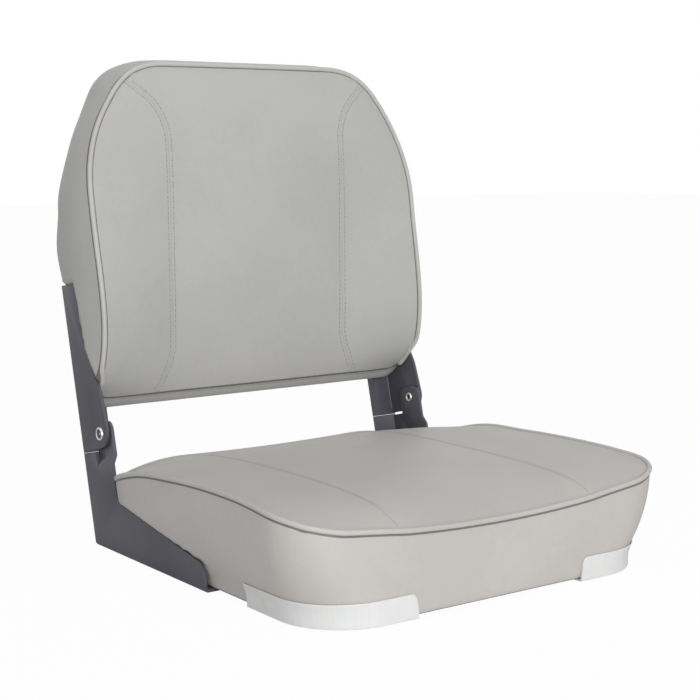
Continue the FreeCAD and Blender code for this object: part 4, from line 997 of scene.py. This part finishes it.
def back_form():
    """Face cap, rows back along the boxing, a rounded rear edge and the rear cap."""
    welt = back_wall(np.zeros(4 * cells))
    for step in range(6):
        welt = back_wall(face_place(*welt.T) - back_face)
    welt_depth = face_place(*welt.T)
    face = cap_plan(welt, cells)
    rows = []
    rear_plan = back_wall(rear_place(welt[:, 1]) - back_face)
    edge_depth = rear_place(rear_plan[:, 1]) - rear_edge_round
    for share in np.linspace(0, 1, 13)[1:]:
        depth = welt_depth + (edge_depth - welt_depth) * share
        rows.append(upright(back_wall(depth - back_face, -4 * boxing_bulge * share * (1 - share)), depth))
    for turn in np.radians((25, 50, 75)):
        depth = edge_depth + rear_edge_round * np.sin(turn)
        rows.append(upright(back_wall(depth - back_face, rear_edge_round * (1 - np.cos(turn))), depth))
    rear_rim = back_wall(edge_depth + rear_edge_round - back_face, rear_edge_round)
    rear = cap_plan(rear_rim, cells)
    caps = upright(face, face_place(*face.T)), upright(rear, over_frame(*rear.T))
    return closed_cover(caps[0], np.array(rows), caps[1], cells)


def back_seam():
    """Front view of the right seam: upright, turned out on an arc to the top corner and a little below."""
    flare_height, flare_turn, flare_round = 0.4245, np.radians(51), 0.060
    reach = flare_round * np.tan(flare_turn / 2)
    bottom_flare, flare_start, flare_bend, seam_foot, seam_tail = 0.0247, 0.190, 1.4, 0.003, 0.036
    z = np.linspace(back_bottom + seam_foot, flare_height - reach, 120)
    low = np.clip((flare_start - z) / (flare_start - back_bottom), 0, 1)
    straight = np.column_stack([seam_place + bottom_flare * low ** flare_bend, z])
    turn = np.linspace(0, flare_turn, 20)[1:, None]
    arc = np.concatenate([flare_round * (1 - np.cos(turn)), flare_round * np.sin(turn)], 1) + straight[-1]
    out = np.linspace(0, seam_tail, 14)[1:, None] * np.array([[np.sin(flare_turn), np.cos(flare_turn)]])
    return np.concatenate([straight, arc, arc[-1] + out])


seam_step = 0.001
seam_line = along_path(back_seam(), seam_step)
seam_runs, seam_ahead = run_along(seam_line), unit(np.gradient(seam_line, axis=0))
knee, waist, plate_top = (0.146, 0.054), (0.190, 0.038), (0.2585, 0.032)
upper_plate = [
    arm_point(0.080, 0), arm_point(0.080, 0.060), arm_point(*knee), arm_point(*waist), arm_point(*plate_top),
    arm_point(0.263, 0),
]
flange_inner, flange_top, flange_gap, flange_roll = 0.165, 0.252, 0.0033, 0.010


def pressed_by_flanges(points):
    """Rear cover held flat under the rear flanges, swelling past their edges on an arc."""
    x, y, z = points.T
    foot = arm_point(0, flange_gap)
    flange = foot[0] + (z - foot[1]) * np.tan(arm_lean)
    outside = np.maximum(np.maximum(flange_inner - abs(x), z - flange_top), 0)
    pressed = points.copy()
    pressed[:, 1] = np.minimum(y, flange + np.sqrt(outside * flange_roll))
    return pressed


cord_end, plate_zone, arm_hold, back_roll = back_bottom + 0.014, 0.16, 0.003, 0.010
# The backrest's seams get a weaker painted shade, at full strength all along.
back_vinyl = sewn_vinyl(
    "back_vinyl", (0.488, 0.488, 0.470), (0.517, 0.517, 0.498), True, 0.12, (-0.02, -0.01)
)


def make_back_cushion():
    """The cover's form, its face eased over the seams, let out a little by the pressure and pressed by the
    brackets; gives the cushion and the line of its welt."""
    points, faces = back_form()
    rim = rim_places(cells)
    cap = (cells + 1) ** 2
    index = np.arange(len(points))
    on_face, on_rear = index < cap, index >= len(points) - cap
    cushion = new_piece("back_cushion", points, faces, back_vinyl)
    points, free = eased_cap(cushion.data, points, rim, on_face)
    x, y, z = points.T
    from_seam = near_path(np.column_stack([abs(x), z]), seam_line)[0]
    points[:, 1] += seam_rise * free * (1 - nearness(from_seam, seam_dip))
    place_points(cushion.data, points)
    keep_values(cushion.data, "top", on_face)
    keep_values(cushion.data, "rear", on_rear)
    held = on_face & (from_seam < seam_hold)
    held[rim] = True
    held |= (depth_inside(points[:, 1:], upper_plate) > -arm_hold) & (abs(x) > plate_zone)
    held |= on_rear & (abs(x) > flange_inner - plate_hold) & (z < flange_top + plate_hold)
    swell(cushion, held, slack)
    subdivided(cushion)
    points = points_of(cushion.data)
    on_rear = values_of(cushion.data, "rear") > sewn_in
    points[on_rear, 1] = np.maximum(points[on_rear, 1], over_frame(points[on_rear, 0], points[on_rear, 2]))
    points = pressed_by_flanges(pressed_by_plates(points, upper_plate, back_roll))
    place_points(cushion.data, points)
    welt = points[rim]
    x, y, z = points.T
    on_face = values_of(cushion.data, "top") > sewn_in
    folded = np.column_stack([abs(x), z])
    from_seam, nearest = near_path(folded, seam_line)
    ahead, aside = seam_ahead[nearest], folded - seam_line[nearest]
    outside = np.sign(ahead[:, 1] * aside[:, 0] - ahead[:, 0] * aside[:, 1])
    from_seam = np.where(on_face, from_seam * outside, far_off)
    # The cord shift places the painted shade line beside the cord on the face and on the band, and weakens it
    # below the cord's ends.
    cord_shift = np.where(z > cord_end, np.where(on_face, -0.0005, -0.0020), 0.0013)
    keep_values(cushion.data, "welt_gap", from_loop(points, welt) + cord_shift)
    keep_values(cushion.data, "seam_gap", from_seam)
    keep_values(cushion.data, "seam_run", seam_runs[nearest])
    return cushion, welt


back_cushion, back_welt = make_back_cushion()
fixed_to(
    back_cushion, "backrest", "cover_vinyl", "back_centre_panel", "left_back_wing_panel",
    "right_back_wing_panel", "back_side_band", "back_rear_panel", "back_foam",
)

# Backrest piping: the same welt cord, up both sides and over the top of the face.
# Its ends turn in under the bottom corners, squeezed behind the side plates.
cord_tuck = back_bottom + 0.033
cord_widest = plate_face - plate_clear - cord_radius


def back_cord_line():
    """Welt points from one bottom corner over the top to the other, drawn in behind the plates low down."""
    lowest = int(np.argmin(abs(back_welt[:, 0]) + 10 * abs(back_welt[:, 2] - back_bottom)))
    line = np.roll(back_welt, -lowest, 0)
    line = eased_path(along_path(line[line[:, 2] > cord_end], cord_pitch), 3, closed=False)
    outward = path_frame(line, forwards)[1]
    middle = np.array((0, 0, (back_bottom + back_top) / 2))
    outward = outward * np.sign(((line - middle) * outward).sum(1))[:, None]
    line = line + (outward + forwards) * cord_proud
    room = cord_widest + np.maximum(0, line[:, 2] - cord_tuck) / 2
    line[:, 0] = np.clip(line[:, 0], -room, room)
    return eased_path(line, 2, closed=False)


back_line = back_cord_line()
cord_steps = np.arange(len(back_line))
from_end = np.minimum(np.minimum(cord_steps, cord_steps[::-1]) * cord_pitch / cord_radius, 1)
end_share = np.sqrt(np.clip(1 - (1 - from_end) ** 2, 0.02, 1))
back_girth = cord_radius * gathers(len(back_line), cord_pitch) * end_share
back_tube = tube(back_line, forwards, back_girth, closed=False)
back_welt_cord = new_piece("back_welt_cord", *back_tube, piping_vinyl)
fixed_to(back_welt_cord, "backrest", "piping_vinyl", "back_piping")

# Backrest stitching: a row of the same thread on each side of both seams, through the panels' folded edges.
# Each row stops short of the welt.
back_points = points_of(back_cushion.data)
back_skin = back_points[values_of(back_cushion.data, "top") > sewn_in]
stitch_runs = np.arange(2, int(seam_runs[-1] / stitch_pitch)) * stitch_pitch
back_rows = []
for side in (-1, 1):
    folded_skin = np.column_stack([side * back_skin[:, 0], back_skin[:, 2]])
    near_row = back_skin[near_path(folded_skin, seam_line)[0] < row_reach]
    for offset in (-row_offset, row_offset):
        line = seam_line + offset * seam_ahead[:, ::-1] * (1, -1)
        row = at_runs(stitch_runs, seam_runs, line) * (side, 1)
        row = upright(row, lifted_onto(row, near_row[:, [0, 2]], near_row[:, 1]))
        back_rows.append(stitches(inside_welt(row, back_welt), forwards))
back_stitching = new_piece("back_stitching", *joined(back_rows), sewing_thread)
fixed_to(back_stitching, "backrest", "piping_vinyl")

# Studio: a pale floor, a white background, one broad soft light from the front and a fill from the left.
# The camera stands at the photographed angle, a little above the seat and to its left.
camera = bpy.data.objects.new("camera", bpy.data.cameras.new("camera"))
camera.data.lens, camera.data.sensor_width = 78.35, 36.0
bpy.context.scene.collection.objects.link(camera)
bpy.context.scene.camera = camera
camera_place, camera_target, camera_roll = (-0.8503, -1.1586, 0.3740), (-0.0103, 0.0200, 0.1951), -0.42


def aimed(thing, place, target, roll=0.0):
    """Stands a lamp or the camera at a place, looking at a target, turned about its own line of sight."""
    look = mathutils.Vector(target) - mathutils.Vector(place)
    turn = look.to_track_quat("-Z", "Y").to_matrix().to_4x4()
    spin = mathutils.Matrix.Rotation(np.radians(roll), 4, "Z")
    thing.matrix_world = mathutils.Matrix.Translation(place) @ turn @ spin


aimed(camera, camera_place, camera_target, camera_roll)
lamps = {
    "front_softbox": ((-0.85, -2.4, 0.40), (0, 0, 0.2), 1.9, 52.0),
    "side_fill": ((-2.2, -0.4, 1.0), (0, 0, 0.2), 1.8, 1.5),
    "overhead": ((0.0, -0.2, 2.4), (0, 0, 0.1), 2.2, 13.0),
}
for name, (place, target, width, power) in lamps.items():
    lamp = bpy.data.objects.new(name, bpy.data.lights.new(name, "AREA"))
    lamp.data.shape, lamp.data.size, lamp.data.energy = "SQUARE", width, power
    bpy.context.scene.collection.objects.link(lamp)
    aimed(lamp, place, target)

world = bpy.data.worlds.new("white_room")
bpy.context.scene.world = world
world.use_nodes = True
rays = world.node_tree.nodes.new("ShaderNodeLightPath")
straight, mirrored, through = (
    Shade(world.node_tree, rays.outputs[f"Is {kind} Ray"]) for kind in ("Camera", "Glossy", "Transmission")
)
seen = straight + mirrored + through
room_light = 0.30
clear = seen.node("ShaderNodeMath", {"operation": "MINIMUM"}, {0: seen, 1: 1.0})
background = world.node_tree.nodes["Background"]
background.inputs["Color"].default_value = (1, 1, 1, 1)
(room_light + clear * (1 - room_light)).to(background, "Strength")

floor_level = float(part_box("left_seat_bracket")[0][2])
floor_reach, floor_glow = 12.0, 0.97
pale_floor, floor_shader, floor_place = new_finish("pale_floor", {"Roughness": 0.9})
floor_cloud = noise(floor_place, 2.0)
blended(floor_cloud, (0.88, 0.88, 0.88, 1), (0.90, 0.90, 0.90, 1)).to(floor_shader, "Base Color")
glow = floor_place.node("ShaderNodeEmission", None, {"Color": (1, 1, 1, 1), "Strength": 1.0})
floor_rays = pale_floor.node_tree.nodes.new("ShaderNodeLightPath")
floor_seen = Shade(pale_floor.node_tree, floor_rays.outputs["Is Camera Ray"]) * floor_glow
lit = Shade(pale_floor.node_tree, floor_shader.outputs[0])
floor_mix = lit.node("ShaderNodeMixShader", None, {0: floor_seen, 1: lit, 2: glow})
floor_mix.to(pale_floor.node_tree.nodes["Material Output"], "Surface")
floor_corners = np.array(((-1, -1, 0), (1, -1, 0), (1, 1, 0), (-1, 1, 0))) * floor_reach
floor = new_piece("floor", floor_corners + (0, 0, floor_level), [[0, 1, 2, 3]], pale_floor, smooth=False)
bpy.context.scene.view_settings.view_transform = "Standard"
